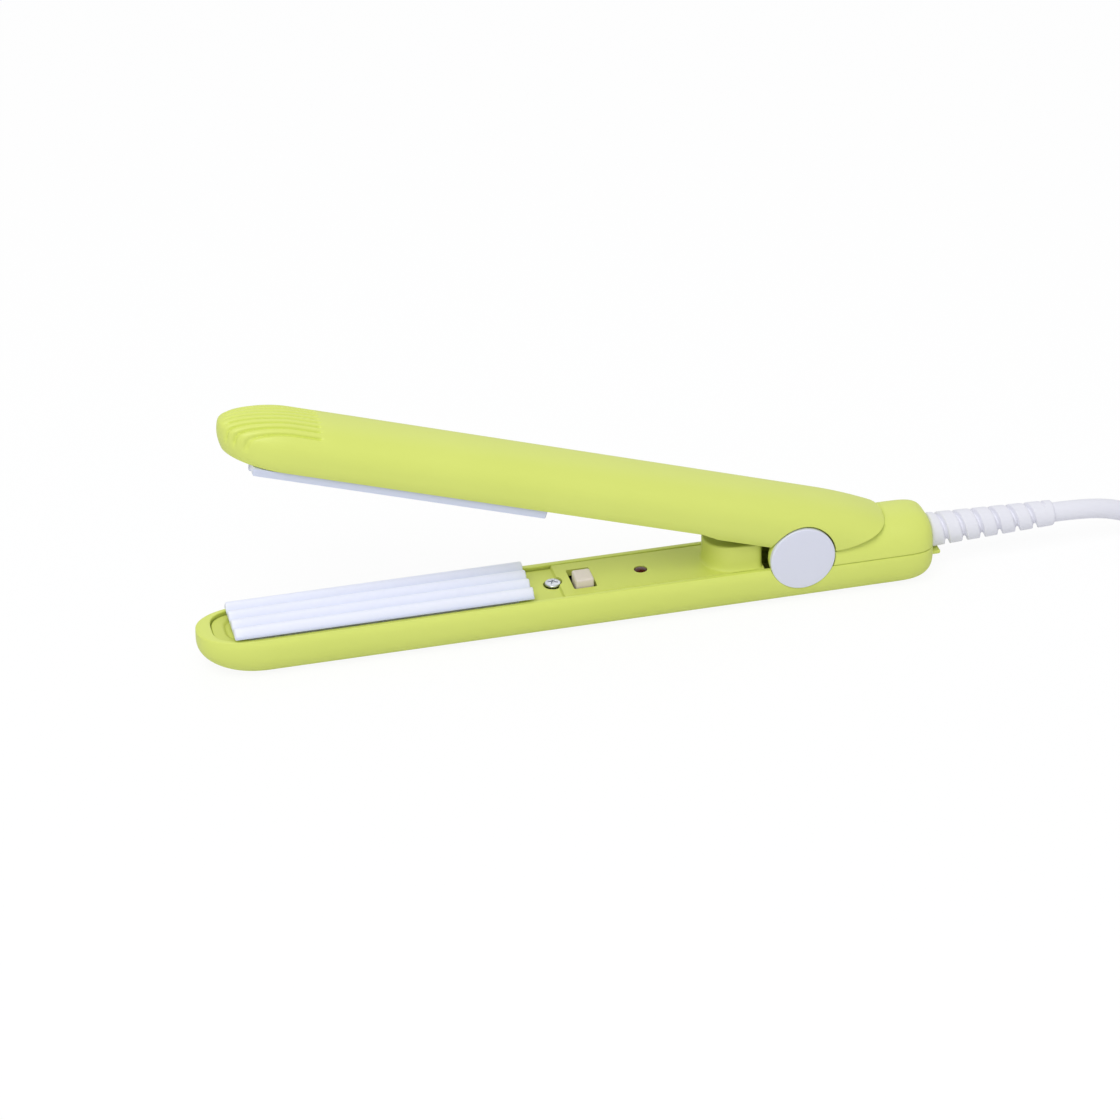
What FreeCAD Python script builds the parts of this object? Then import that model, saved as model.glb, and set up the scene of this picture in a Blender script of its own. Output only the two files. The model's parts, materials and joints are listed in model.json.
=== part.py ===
"""Small hair crimper: two clam-shell arms on a rear hinge, a crimp plate in each jaw.

Everything is drawn in millimetres about the hinge axis (X towards the cord, Y across,
Z up) with the jaws closed. The upper arm is then turned open about the hinge, and the
whole is moved so that the origin lies on the floor under the middle of the body.
"""
import FreeCAD, Part
import math
import os

V = FreeCAD.Vector
ACROSS = V(0, 1, 0)
UP = V(0, 0, 1)
ALONG = V(1, 0, 0)

# ---- driving dimensions ---------------------------------------------------------------
OPEN_ANGLE = 17.6            # degrees between the arms at the open stop
ARM_HALF = 9.6               # half width of either arm at its widest
ROUNDNESS = 2.4              # exponent of the oval sections
WALL = 1.6                   # moulded wall
FIT = 0.12                   # gap round a seated piece
RUNNING_GAP = 0.35           # gap between pieces that move past each other
HALF_POINTS = 13             # points on either half of an oval section

FLOOR_DROP = 12.9            # hinge axis above the floor
TIP_MARGIN = 8.1             # lower arm's tip beyond its crimp plate
UPPER_OVERHANG = 0.7         # upper tip beyond the lower one
NOSE_LENGTH = 13.2           # rounded length of either tip
NOSE_PLAN = 2.0              # exponent of the tips in plan
POCKET_PLAN = 3.5            # the same for the squarer pocket inside
NOSE_FIRST = 9               # degrees round the tip of its first section
NOSE_STEP = 9                # degrees between its sections
LOWER_RIM_TAPER = 0.2        # how fast the rim side shrinks towards the tip
UPPER_RIM_TAPER = 0.75
NOSE_WALL = 4.6              # thickness of the tip ahead of the inner panel
RIM_INSET = 0.8              # rim inside the widest level
RIM_WALL = 1.25              # casing wall at the rim
LOWER_RIM = -2.3             # height of the lower rim, jaws closed
UPPER_RIM = 1.95             # height of the upper rim, jaws closed
LOWER_BELT = -5.3            # widest level of the lower arm
UPPER_BELT = 5.6             # widest level of the upper arm
LOWER_DEPTH = 7.9            # belt to the round bottom, before the flat is cut
UPPER_DEPTH = 7.4            # belt to the top
SKIRT_RIM = 0.95             # lower edge of the upper arm beside the boss
SKIRT_START = -26.2          # where that edge begins to step down
SKIRT_RUN = 4.5              # length of the step

REAR_END = 35.7              # end of the rear housing behind the hinge
SEAM = -3.3                  # level of the seam round the rear housing
REAR_TOP = 5.0               # top of the rear housing
# share of the rear housing's length, then of its half width, top and bottom
REAR_SHAPE = ((0.0, 1.0, 1.0, 1.0), (0.42, 1.0, 1.0, 1.0), (0.56, 1.0, 1.0, 0.98),
              (0.70, 0.995, 1.0, 0.93), (0.80, 0.975, 0.975, 0.86), (0.88, 0.93, 0.90, 0.76),
              (0.94, 0.85, 0.79, 0.65), (0.98, 0.74, 0.66, 0.53), (1.0, 0.62, 0.54, 0.42))
TAIL_FALL = ((7.0, 0.1), (14.0, 0.65), (20.0, 1.55), (27.0, 3.0))  # top of the tail: X, drop
LIP_LENGTH = 3.2             # tongue under the cord
LIP_HALF = 3.2
LIP_THICK = 1.3
CRESCENT_RADIUS = 38.5       # curved seam between the upper arm and the rear cover
CRESCENT_X = 3.8             # its centre, arms open
CRESCENT_Z = 38.6
DECK = 1.4                   # wall of the rear cover along that seam

EAR_RADIUS = 7.9             # hinge ears of the lower casing
EAR_THICK = 2.0
CAP_RADIUS = 7.94            # round hinge caps
CAP_THICK = 1.15
CAP_PROUD = 0.2              # cap's face outside the arm's widest level
CAP_EDGE = 0.35
PIN_RADIUS = 2.0
BARREL_RADIUS = 5.6          # hinge barrel of the upper arm
PIN_PLAY = 0.05

PLATE_END = -65.05           # hinge end of the crimp plates
PLATE_LENGTH = 71.25
PLATE_MARGIN = 0.56          # plate's side inside the rim
WAVES = 4
WAVE_HEIGHT = 1.5            # crest to valley
LOWER_WAVE = -0.35           # middle level of the lower waves
JAW_GAP = 0.3                # hair space between the closed plates
PLATE_SHOULDER = 0.2         # plate's wide part above the rim
PLATE_LEDGE = 1.84           # plate's side beyond its neck, which passes through the panel
PLATE_BASE = 2.1             # rim to the plate's underside
HEATER_INSET = 3.3
HEATER_MARGIN = 1.4          # heater's side inside the plate's neck
HEATER_THICK = 2.8
CLAMP_THICK = 0.6
CLAMP_INSET = 2.0            # clamp's end inside the heater's
CARRIER_INSET = 1.0          # carrier's end inside the heater's
CARRIER_MARGIN = 0.4         # carrier's side inside the heater's

PANEL_THICK = 1.6
PANEL_RECESS = 0.95          # panel below the rim round the plate
PANEL_RUN = 7.05             # plate to the step where the lower panel comes up to the rim
PANEL_END = -9.3             # rear end of the lower panel and its boss
BOSS_START = -22.2
BOSS_MARGIN = 1.35           # boss's side inside the casing's hollow
BOSS_TOP = 4.75
BOSS_SKIRT = 0.9             # fillet at the foot of the boss
SPRING_X = -15.8
SPRING_BORE = 2.9
SPRING_RADIUS = 2.4
SPRING_WIRE = 0.35
SPRING_TURNS = 9
SPRING_FLOOR = -8.6
CUP_WALL = 1.3

ROOF = 6.6                   # underside of the upper arm's pocket over the boss
POCKET_FRONT = -24.4
CARRIER_PLAY = 0.3           # hinge carrier to the ears beside it

SCREW_RUN = 6.15             # plate to the panel's screw
SCREW_HEAD = 1.9
SCREW_SHANK = 1.1
SCREW_LENGTH = 8.0           # the jaws' front screws
HINGE_SCREW_LENGTH = 4.6
REAR_SCREW_LENGTH = 13.5
POST_RADIUS = 2.6
HINGE_SCREW_X = -21.6
REAR_SCREW_X = 21.0
REAR_SCREW_Y = 4.6

SWITCH_RUN = 6.9             # panel's screw to the switch
KNOB_LENGTH = 4.4            # along the arm
KNOB_WIDTH = 5.2             # across the arm
KNOB_HEIGHT = 2.0
SWITCH_TRAVEL = 3.3
SLOT_START = -4.75
SLOT_PLAY = 0.25
SWITCH_HALF_X = 4.2
SWITCH_MARGIN = 0.6          # switch's side inside the board's
LAMP_RUN = 14.6              # switch to the lamp
LAMP_RADIUS = 1.5
LAMP_DOME = 0.5
BOARD_GAP = 0.3              # screw post to the board
BOARD_TAIL = 10.4            # board beyond the lamp
BOARD_MARGIN = 1.8           # board's side inside the casing's hollow
BOARD_TOP = -7.8
BOARD_THICK = 1.2
BOARD_RIB = 1.2              # width of the ribs under the board
BOARD_RIB_INSET = 5.5        # ribs from the board's ends

WIRE_RADIUS = 0.6
WIRE_SPREAD = 2.4            # each wire from the middle, at the heater
BOARD_SPREAD = 4.6           # the same at the board
ROOF_SPREAD = 4.4            # the same over the hinge carrier
CORE_SPREAD = 1.1            # the same in the cord's jacket
FLOOR_SPREAD = 1.6           # the same on the casing's floor
LEAD_STRAIGHT = 2.0          # straight run of a wire at either end
ROOF_STRAIGHT = 3.0          # straight run before a wire climbs
ROOF_RISE = 11.0             # length of that climb
CORE_STRAIGHT = 5.0
CORE_FALL = 1.5
CORE_RUN = 7.0
CORE_CLEAR = 0.35            # cores above the casing's floor
JACKET_START = 24.0
JACKET_RADIUS = 2.3
CLAMP_START = 2.0            # cord clamp from the jacket's end
CLAMP_LENGTH = 3.0
CLAMP_HALF = 4.0
CLAMP_SOLE = 1.6             # its web under the jacket
CLAMP_TOP = 0.6              # its top under the jacket's middle
CLAMP_LEG = 0.6              # its leg's ends inside the web's

CORD_Z = -2.5                # axis of the cord exit
BOOT_NECK = 3.4
BOOT_FLANGE = 4.1
BOOT_FLANGE_THICK = 1.4
BOOT_LENGTH = 30.0
BOOT_START_RADIUS = 4.5
BOOT_END_RADIUS = 3.1
CORD_RADIUS = 2.4
COIL_LANES = 2
COIL_LAYERS = 5
COIL_MEAN = 13.2            # of the round ends of the put-away hank
COIL_RUN = 52.0             # between the middles of its ends
COIL_X = 133.8
PLUG_SET = 18.0              # plug's cord end from the coil's middle
PLUG_LENGTH = 34.0
PLUG_WIDTH = 14.0
PLUG_THICK = 12.0
PLUG_PIN_RADIUS = 2.0
PLUG_PIN_LENGTH = 19.0
PLUG_PIN_SPACING = 7.6

# ---- worked out from them -------------------------------------------------------------
RIM_HALF = ARM_HALF - RIM_INSET
CAP_FACE = ARM_HALF + CAP_PROUD
EAR_OUTER = CAP_FACE - CAP_THICK - PIN_PLAY
EAR_INNER = EAR_OUTER - EAR_THICK
CARRIER_NARROW = EAR_INNER - CARRIER_PLAY
PLATE_START = PLATE_END - PLATE_LENGTH
PLATE_HALF = RIM_HALF - PLATE_MARGIN
PLATE_NECK_HALF = PLATE_HALF - PLATE_LEDGE
WAVE_PITCH = 2 * PLATE_HALF / WAVES
HEATER_HALF = PLATE_NECK_HALF - HEATER_MARGIN
CARRIER_HALF = HEATER_HALF - CARRIER_MARGIN
LOWER_TIP = TIP_MARGIN - PLATE_START
UPPER_TIP = LOWER_TIP + UPPER_OVERHANG
BOSS_HALF = ARM_HALF - WALL - BOSS_MARGIN
SCREW_X = PLATE_END + SCREW_RUN
PANEL_STEP = PLATE_END + PANEL_RUN
SWITCH_X = SCREW_X + SWITCH_RUN
LAMP_X = SWITCH_X + LAMP_RUN
BOARD_START = SCREW_X + POST_RADIUS + BOARD_GAP
BOARD_END = LAMP_X + BOARD_TAIL
BOARD_HALF = ARM_HALF - WALL - BOARD_MARGIN
SWITCH_HALF_Y = BOARD_HALF - SWITCH_MARGIN
LOWER_PANEL_TOP = LOWER_RIM - 0.1
LOWER_PANEL_LOW = LOWER_RIM - PANEL_RECESS    # the lower panel's top round the plate
LOWER_PANEL_UNDER = LOWER_PANEL_LOW - PANEL_THICK
UPPER_PANEL_LOW = UPPER_RIM + PANEL_RECESS
ROOF_TOP = ROOF + PANEL_THICK
BODY_SHIFT = (LOWER_TIP - REAR_END - LIP_LENGTH) / 2
HUB_CUT = EAR_RADIUS + RUNNING_GAP
CARRIER_REACH = 5.0          # hinge carrier behind the pin
HUB_SWEEP = math.hypot(CARRIER_REACH, ROOF_TOP) + RUNNING_GAP
FLANGE_X = REAR_END - WALL - BOOT_FLANGE_THICK - FIT
COIL_THICK = 2 * CORD_RADIUS * COIL_LAYERS
COIL_OUTER = COIL_MEAN + CORD_RADIUS * COIL_LANES
COIL_INNER = COIL_MEAN - CORD_RADIUS * COIL_LANES
COIL_Y = -(COIL_OUTER - CORD_RADIUS)
BIG = 400.0


# ---- small helpers ----------------------------------------------------------------------
def box(x0, x1, y0, y1, z0, z1):
    """A box between two corners."""
    return Part.makeBox(x1 - x0, y1 - y0, z1 - z0, V(x0, y0, z0))


def round_across(radius, y0, y1, x=0.0, z=0.0):
    """A cylinder lying across the arm."""
    return Part.makeCylinder(radius, y1 - y0, V(x, y0, z), ACROSS)


def round_up(radius, z0, z1, x, y=0.0):
    """An upright cylinder."""
    return Part.makeCylinder(radius, z1 - z0, V(x, y, z0), UP)


def half_oval(x, half, rise, middle):
    """The upper or lower half of an oval section, upright where it meets the belt."""
    points = []
    for i in range(HALF_POINTS):
        turn = math.pi * i / (HALF_POINTS - 1)
        c, s = math.cos(turn), math.sin(turn)
        y = half * math.copysign(abs(c) ** (2 / ROUNDNESS), c)
        points.append(V(x, y, middle + rise * abs(s) ** (2 / ROUNDNESS)))
    curve = Part.BSplineCurve()
    away = UP * math.copysign(1, rise)
    curve.interpolate(Points=points, InitialTangent=away, FinalTangent=-away)
    return curve.toShape()


def oval(x, half, up, down, middle):
    """One closed oval section across the arm."""
    return Part.Wire([half_oval(x, half, up, middle), half_oval(x, half, -down, middle)])


def arm_wires(reach, inset, away, rim_side, middle, end):
    """Oval sections of a round-nosed bar from its tip to the given end.

    away is the height on the outer side of the belt and rim_side that towards the rim:
    both are signed, so that one function serves both arms.
    """
    half = ARM_HALF - inset
    back = NOSE_WALL + inset - WALL if inset else 0
    tip = -reach + back
    length = NOSE_LENGTH - back
    power = POCKET_PLAN if inset else NOSE_PLAN
    rim_taper = LOWER_RIM_TAPER if rim_side > 0 else UPPER_RIM_TAPER
    wires = []
    for degrees in range(NOSE_FIRST, 91, NOSE_STEP):
        along = math.cos(math.radians(degrees))
        grow = (1 - along ** power) ** (1 / power)
        heights = sorted((away * grow, rim_side * grow ** rim_taper))
        wires.append(oval(tip + length * (1 - along), half * grow, heights[1], -heights[0], middle))
    heights = sorted((away, rim_side))
    wires.append(oval(end, half, heights[1], -heights[0], middle))
    return wires


def rim_height(inset, rise):
    """Signed height of the oval's rim side, so that it is as wide as it should be at the rim."""
    half = ARM_HALF - inset
    rim_half = RIM_HALF - (RIM_WALL + inset - WALL if inset else 0)
    return rise / (1 - (rim_half / half) ** ROUNDNESS) ** (1 / ROUNDNESS)


def lower_solid(inset, end):
    """The lower arm's form, moved in by a wall."""
    rim_side = rim_height(inset, LOWER_RIM - LOWER_BELT)
    wires = arm_wires(LOWER_TIP, inset, inset - LOWER_DEPTH, rim_side, LOWER_BELT, end)
    return Part.makeLoft(wires, True, True)


def upper_solid(inset):
    """The upper arm's form with its falling tail, moved in by a wall."""
    rim_side = rim_height(inset, UPPER_RIM - UPPER_BELT)
    top = UPPER_DEPTH - inset
    wires = arm_wires(UPPER_TIP, inset, top, rim_side, UPPER_BELT, 0.0)
    for x, fall in TAIL_FALL:
        wires.append(oval(x, ARM_HALF - inset, top - fall, -rim_side, UPPER_BELT))
    return Part.makeLoft(wires, True, True)


def rear_solid(inset):
    """The rear housing's form behind the hinge, moved in by a wall."""
    rise = REAR_TOP - LOWER_BELT
    wires = []
    for along, width, top, bottom in REAR_SHAPE:
        x = (REAR_END - inset) * along
        wires.append(oval(x, (ARM_HALF - inset) * width, (rise - inset) * top,
                          (LOWER_DEPTH - inset) * bottom, LOWER_BELT))
    return Part.makeLoft(wires, True, True)


def tube(points, radius, report=""):
    """A round tube along straight runs joined by tangent arcs."""
    edges = []
    start = points[0]
    radii = []
    for i in range(1, len(points) - 1):
        back = points[i - 1] - points[i]
        ahead = points[i + 1] - points[i]
        run = min(back.Length, ahead.Length)
        half_turn = (math.pi - back.getAngle(ahead)) / 2
        reach = 0.45 * run
        radii.append(reach / math.tan(half_turn))
        enter = points[i] + back.normalize() * reach
        leave = points[i] + ahead.normalize() * reach
        bow = (enter + leave) * 0.5 - points[i]
        sag = radii[-1] / math.cos(half_turn) - radii[-1]
        middle = points[i] + bow.normalize() * sag
        edges.append(Part.LineSegment(start, enter).toShape())
        edges.append(Part.Arc(enter, middle, leave).toShape())
        start = leave
    edges.append(Part.LineSegment(start, points[-1]).toShape())
    path = Part.Wire(edges)
    heading = points[1] - points[0]
    ring = Part.Wire(Part.Circle(points[0], heading, radius).toShape())
    solid = path.makePipeShell([ring], True, False)
    if report:
        share = solid.Volume / (math.pi * radius ** 2 * path.Length)
        rounded = ", ".join(f"{r:.1f}" for r in radii)
        print(f"{report}: length {path.Length:.1f}, arc radii {rounded}, volume share {share:.4f}")
    return solid


def screw(x, y, head_z, direction, length=SCREW_LENGTH):
    """A cross-head screw: countersunk head, shank along the direction."""
    way = V(0, 0, direction)
    depth = SCREW_HEAD - SCREW_SHANK
    head = Part.makeCone(SCREW_HEAD, SCREW_SHANK, depth, V(x, y, head_z), way)
    shank = Part.makeCylinder(SCREW_SHANK, length, V(x, y, head_z), way)
    body = head.fuse(shank)
    arm, slot, sunk = SCREW_HEAD * 0.6, SCREW_HEAD * 0.16, SCREW_HEAD * 0.35
    z0, z1 = sorted((head_z, head_z + direction * sunk))
    body = body.cut(box(x - arm, x + arm, y - slot, y + slot, z0, z1))
    return body.cut(box(x - slot, x + slot, y - arm, y + arm, z0, z1))


def screw_hole(x, y, head_z, direction):
    """The countersunk hole for such a screw."""
    way = V(0, 0, direction)
    depth = SCREW_HEAD - SCREW_SHANK
    head = Part.makeCone(SCREW_HEAD + FIT, SCREW_SHANK + FIT, depth, V(x, y, head_z), way)
    return head.fuse(Part.makeCylinder(SCREW_SHANK + FIT, BIG, V(x, y, head_z), way))


def screw_bore(x, y, head_z, direction, length=SCREW_LENGTH):
    """The blind bore in the post that takes the shank."""
    way = V(0, 0, direction)
    return Part.makeCylinder(SCREW_SHANK + PIN_PLAY, length + FIT, V(x, y, head_z), way)


def boot_seat():
    """The hole and groove in the rear wall that hold the cord's boot."""
    hole = Part.makeCylinder(BOOT_NECK + FIT, BIG, V(JACKET_START, 0, CORD_Z), ALONG)
    groove = Part.makeCylinder(BOOT_FLANGE + FIT, BOOT_FLANGE_THICK + 2 * FIT,
                               V(FLANGE_X - FIT, 0, CORD_Z), ALONG)
    return hole.fuse(groove)


# ---- the lower arm ----------------------------------------------------------------------
def post(x, y, z0, z1, radius, form):
    """A screw post that stops at the casing's form."""
    return round_up(radius, z0, z1, x, y).common(form)


def lower_casing():
    """The lower shell with its hinge ears, posts, ribs and the tongue under the cord."""
    form = lower_solid(0, 0.0).fuse(rear_solid(0))
    hollow = lower_solid(WALL, 0.0).fuse(rear_solid(WALL))
    shell = form.cut(hollow)
    trim = [box(-BIG, 0, -BIG, BIG, LOWER_RIM, BIG), box(0, BIG, -BIG, BIG, SEAM, BIG),
            box(-BIG, BIG, -BIG, BIG, -BIG, -FLOOR_DROP)]
    inside = form.cut(trim[2])
    shell = shell.fuse(post(SCREW_X, 0, -FLOOR_DROP, LOWER_PANEL_UNDER, POST_RADIUS, inside))
    board_under = BOARD_TOP - BOARD_THICK
    for x in (BOARD_START + BOARD_RIB_INSET, BOARD_END - BOARD_RIB_INSET):
        rib = box(x - BOARD_RIB / 2, x + BOARD_RIB / 2, -BIG, BIG, -FLOOR_DROP, board_under)
        shell = shell.fuse(rib.common(inside))
    for side in (-1, 1):
        y = side * REAR_SCREW_Y
        shell = shell.fuse(post(REAR_SCREW_X, y, -FLOOR_DROP, SEAM, POST_RADIUS - 0.6, inside))
    shell = shell.cut(Part.makeCompound(trim))
    tongue = box(REAR_END - 2 * WALL, REAR_END + LIP_LENGTH, -LIP_HALF, LIP_HALF,
                 CORD_Z - BOOT_NECK - LIP_THICK - FIT, CORD_Z - BOOT_NECK - FIT)
    shell = shell.fuse(tongue.cut(box(-BIG, REAR_END - WALL, -BIG, BIG, -BIG, BIG)))
    for side in (-1, 1):
        y0, y1 = sorted((side * EAR_INNER, side * EAR_OUTER))
        shell = shell.fuse(round_across(EAR_RADIUS, y0, y1))
        y0, y1 = sorted((side * EAR_OUTER, side * BIG))
        shell = shell.cut(round_across(CAP_RADIUS + FIT, y0, y1))
    shell = shell.cut(round_across(PIN_RADIUS + PIN_PLAY, -BIG, BIG))
    shell = shell.cut(screw_bore(SCREW_X, 0, LOWER_PANEL_TOP, -1))
    for side in (-1, 1):
        y = side * REAR_SCREW_Y
        shell = shell.cut(screw_hole(REAR_SCREW_X, y, -FLOOR_DROP, 1))
    return shell.cut(boot_seat()).removeSplitter()


def lower_inner_panel():
    """The flat cover in the lower jaw, with the spring boss near the hinge."""
    form = lower_solid(WALL + FIT, PANEL_END)
    low_top = LOWER_PANEL_LOW
    panel = form.common(box(-BIG, PANEL_END, -BIG, BIG, LOWER_PANEL_UNDER, low_top))
    raised = form.common(box(PANEL_STEP, PANEL_END, -BIG, BIG, LOWER_PANEL_UNDER,
                             LOWER_PANEL_TOP))
    panel = panel.fuse(raised)
    boss = box(BOSS_START + BOSS_HALF, PANEL_END, -BOSS_HALF, BOSS_HALF, low_top, BOSS_TOP)
    boss = boss.fuse(round_up(BOSS_HALF, low_top, BOSS_TOP, BOSS_START + BOSS_HALF))
    foot = Part.makeCone(BOSS_HALF + BOSS_SKIRT, BOSS_HALF, BOSS_SKIRT,
                         V(BOSS_START + BOSS_HALF, 0, LOWER_PANEL_TOP), UP)
    foot = foot.common(box(-BIG, BOSS_START + BOSS_HALF, -RIM_HALF, RIM_HALF, -BIG, BIG))
    cup = round_up(SPRING_BORE + CUP_WALL, SPRING_FLOOR - CUP_WALL, low_top, SPRING_X)
    panel = panel.fuse(boss.removeSplitter()).fuse(foot).fuse(cup)
    panel = panel.cut(round_up(SPRING_BORE, SPRING_FLOOR, BIG, SPRING_X))
    panel = panel.cut(plate_opening(-1))
    slot_end = SLOT_START + KNOB_WIDTH + SWITCH_TRAVEL + 2 * SLOT_PLAY
    panel = panel.cut(box(SWITCH_X - KNOB_LENGTH / 2 - SLOT_PLAY, SWITCH_X + KNOB_LENGTH / 2 + SLOT_PLAY,
                          SLOT_START, slot_end, -BIG, BIG))
    panel = panel.cut(round_up(LAMP_RADIUS + FIT, -BIG, BIG, LAMP_X))
    return panel.cut(screw_hole(SCREW_X, 0, LOWER_PANEL_TOP, -1)).removeSplitter()


def plate_opening(side):
    """The hole through a panel for its crimp plate."""
    half = PLATE_NECK_HALF + FIT
    z0, z1 = sorted((0.0, side * BIG))
    return box(PLATE_START - FIT, PLATE_END + FIT, -half, half, z0, z1)


def rear_cover():
    """The upper half of the rear housing, closed by a deck under the arm's tail."""
    form = rear_solid(0)
    edge = CRESCENT_RADIUS + RUNNING_GAP / 2
    hollow = rear_solid(WALL).cut(round_across(edge + DECK, -BIG, BIG, CRESCENT_X, CRESCENT_Z))
    cover = form.cut(hollow).cut(round_across(edge, -BIG, BIG, CRESCENT_X, CRESCENT_Z))
    cover = cover.cut(box(-BIG, BIG, -BIG, BIG, -BIG, SEAM))
    cover = cover.cut(round_across(HUB_CUT, -BIG, BIG))
    middle = EAR_INNER + RUNNING_GAP
    cover = cover.cut(round_across(HUB_SWEEP, -middle, middle))
    inside = form.cut(round_across(edge + DECK / 2, -BIG, BIG, CRESCENT_X, CRESCENT_Z))
    for side in (-1, 1):
        y = side * REAR_SCREW_Y
        stud = post(REAR_SCREW_X, y, SEAM, REAR_TOP, POST_RADIUS - 0.6, inside)
        cover = cover.fuse(stud).cut(screw_bore(REAR_SCREW_X, y, -FLOOR_DROP, 1, REAR_SCREW_LENGTH))
    return cover.cut(boot_seat()).removeSplitter()


# ---- the jaws' heating stacks -------------------------------------------------------------
def stack_levels(side):
    """Levels of one jaw's stack: rim, plate base, heater base and clamp base."""
    rim = LOWER_RIM if side < 0 else UPPER_RIM
    base = rim + side * PLATE_BASE
    heater = base + side * HEATER_THICK
    return rim, base, heater, heater + side * CLAMP_THICK


def crimp_plate(side):
    """A waved aluminium plate; its neck passes through the panel."""
    rim, base, _, _ = stack_levels(side)
    middle = LOWER_WAVE if side < 0 else LOWER_WAVE + JAW_GAP
    shoulder_z = rim - side * PLATE_SHOULDER
    steps = 2 * WAVES
    crest = []
    for i in range(steps + 1):
        y = -PLATE_HALF + i * WAVE_PITCH / 2
        height = middle + (WAVE_HEIGHT / 2 if i % 2 else -WAVE_HEIGHT / 2)
        crest.append(V(PLATE_START, y, height))
    if side > 0:
        crest[0].z += WAVE_HEIGHT / 2
        crest[-1].z += WAVE_HEIGHT / 2
    curve = Part.BSplineCurve()
    curve.interpolate(Points=crest)
    corners = [crest[-1], V(PLATE_START, PLATE_HALF, shoulder_z),
               V(PLATE_START, PLATE_NECK_HALF, shoulder_z), V(PLATE_START, PLATE_NECK_HALF, base),
               V(PLATE_START, -PLATE_NECK_HALF, base), V(PLATE_START, -PLATE_NECK_HALF, shoulder_z),
               V(PLATE_START, -PLATE_HALF, shoulder_z), crest[0]]
    edges = [curve.toShape()]
    for a, b in zip(corners[:-1], corners[1:]):
        edges.append(Part.LineSegment(a, b).toShape())
    return Part.Face(Part.Wire(edges)).extrude(V(PLATE_LENGTH, 0, 0))


def heater_element(side):
    """The flat ceramic heater on the back of the plate."""
    _, base, heater, _ = stack_levels(side)
    z0, z1 = sorted((base, heater))
    return box(PLATE_START + HEATER_INSET, PLATE_END - HEATER_INSET, -HEATER_HALF, HEATER_HALF, z0, z1)


def heater_clamp(side):
    """A sprung steel channel that presses the heater to the plate."""
    _, base, heater, clamp = stack_levels(side)
    wide = HEATER_HALF + FIT + CLAMP_THICK
    lip = base + side * HEATER_THICK * 0.4
    z0, z1 = sorted((lip, clamp))
    ends = HEATER_INSET + CLAMP_INSET
    channel = box(PLATE_START + ends, PLATE_END - ends, -wide, wide, z0, z1)
    z0, z1 = sorted((base, heater))
    return channel.cut(box(-BIG, BIG, -HEATER_HALF - FIT, HEATER_HALF + FIT, z0, z1))


def plate_carrier(side, form):
    """The insulating block between the clamp and the casing."""
    clamp = stack_levels(side)[3]
    z0, z1 = sorted((clamp, side * BIG))
    ends = HEATER_INSET + CARRIER_INSET
    start, end = PLATE_START + ends, PLATE_END - ends
    block = box(start, end, -CARRIER_HALF, CARRIER_HALF, z0, z1)
    bays = 4
    pitch = (end - start) / bays
    for i in range(bays):
        x = start + pitch * (i + 0.2)
        block = block.cut(box(x, x + pitch * 0.6, -CARRIER_HALF + WALL, CARRIER_HALF - WALL, z0, z1))
    return block.common(form).removeSplitter()


# ---- fittings in the lower arm ------------------------------------------------------------
def switch_slider():
    """The slide switch's knob, standing up through its slot."""
    y0 = SLOT_START + SLOT_PLAY
    top = LOWER_PANEL_TOP + KNOB_HEIGHT
    foot = LOWER_PANEL_UNDER - FIT
    return box(SWITCH_X - KNOB_LENGTH / 2, SWITCH_X + KNOB_LENGTH / 2, y0, y0 + KNOB_WIDTH, foot, top)


def switch_body():
    """The slide switch's case on the circuit board."""
    top = LOWER_PANEL_UNDER - FIT - PIN_PLAY
    return box(SWITCH_X - SWITCH_HALF_X, SWITCH_X + SWITCH_HALF_X, -SWITCH_HALF_Y, SWITCH_HALF_Y,
               BOARD_TOP, top)


def indicator_lamp():
    """The round-topped red lamp, standing on the board."""
    top = LOWER_PANEL_TOP - 0.2
    body = round_up(LAMP_RADIUS, BOARD_TOP, top, LAMP_X)
    dome_radius = (LAMP_RADIUS ** 2 + LAMP_DOME ** 2) / (2 * LAMP_DOME)
    ball = Part.makeSphere(dome_radius, V(LAMP_X, 0, top + LAMP_DOME - dome_radius))
    dome = ball.common(round_up(LAMP_RADIUS, top, top + LAMP_DOME, LAMP_X))
    return body.fuse(dome).removeSplitter()


def circuit_board():
    """The board that carries the switch and the lamp."""
    return box(BOARD_START, BOARD_END, -BOARD_HALF, BOARD_HALF, BOARD_TOP - BOARD_THICK, BOARD_TOP)


def board_components():
    """A film capacitor, a dropper resistor and a rectifier on the board."""
    capacitor = box(LAMP_X + 3, BOARD_END - 1, -4.5, 1.5, BOARD_TOP, BOARD_TOP + 2.6)
    resistor = Part.makeCylinder(1.1, 6, V(LAMP_X - 7.4, 3.4, BOARD_TOP + 1.1), ALONG)
    diode = Part.makeCylinder(0.9, 4, V(LAMP_X - 6, -3.6, BOARD_TOP + 0.9), ALONG)
    return Part.makeCompound([capacitor, resistor, diode])


def wires(points, spread):
    """A pair of insulated wires, one each side of the middle."""
    pair = []
    for side in (-1, 1):
        pair.append(tube([V(x, side * y, z) for (x, z), y in zip(points, spread)], WIRE_RADIUS))
    return Part.makeCompound(pair)


def lower_lead_wires():
    """The wires from the lower heater to the board."""
    heater = (stack_levels(-1)[1] + stack_levels(-1)[2]) / 2
    start = PLATE_END - HEATER_INSET + FIT
    end = BOARD_START - FIT
    level = BOARD_TOP - BOARD_THICK / 2
    points = ((start, heater), (start + LEAD_STRAIGHT, heater),
              (end - LEAD_STRAIGHT, level), (end, level))
    return wires(points, (WIRE_SPREAD, WIRE_SPREAD, BOARD_SPREAD, BOARD_SPREAD))


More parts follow.
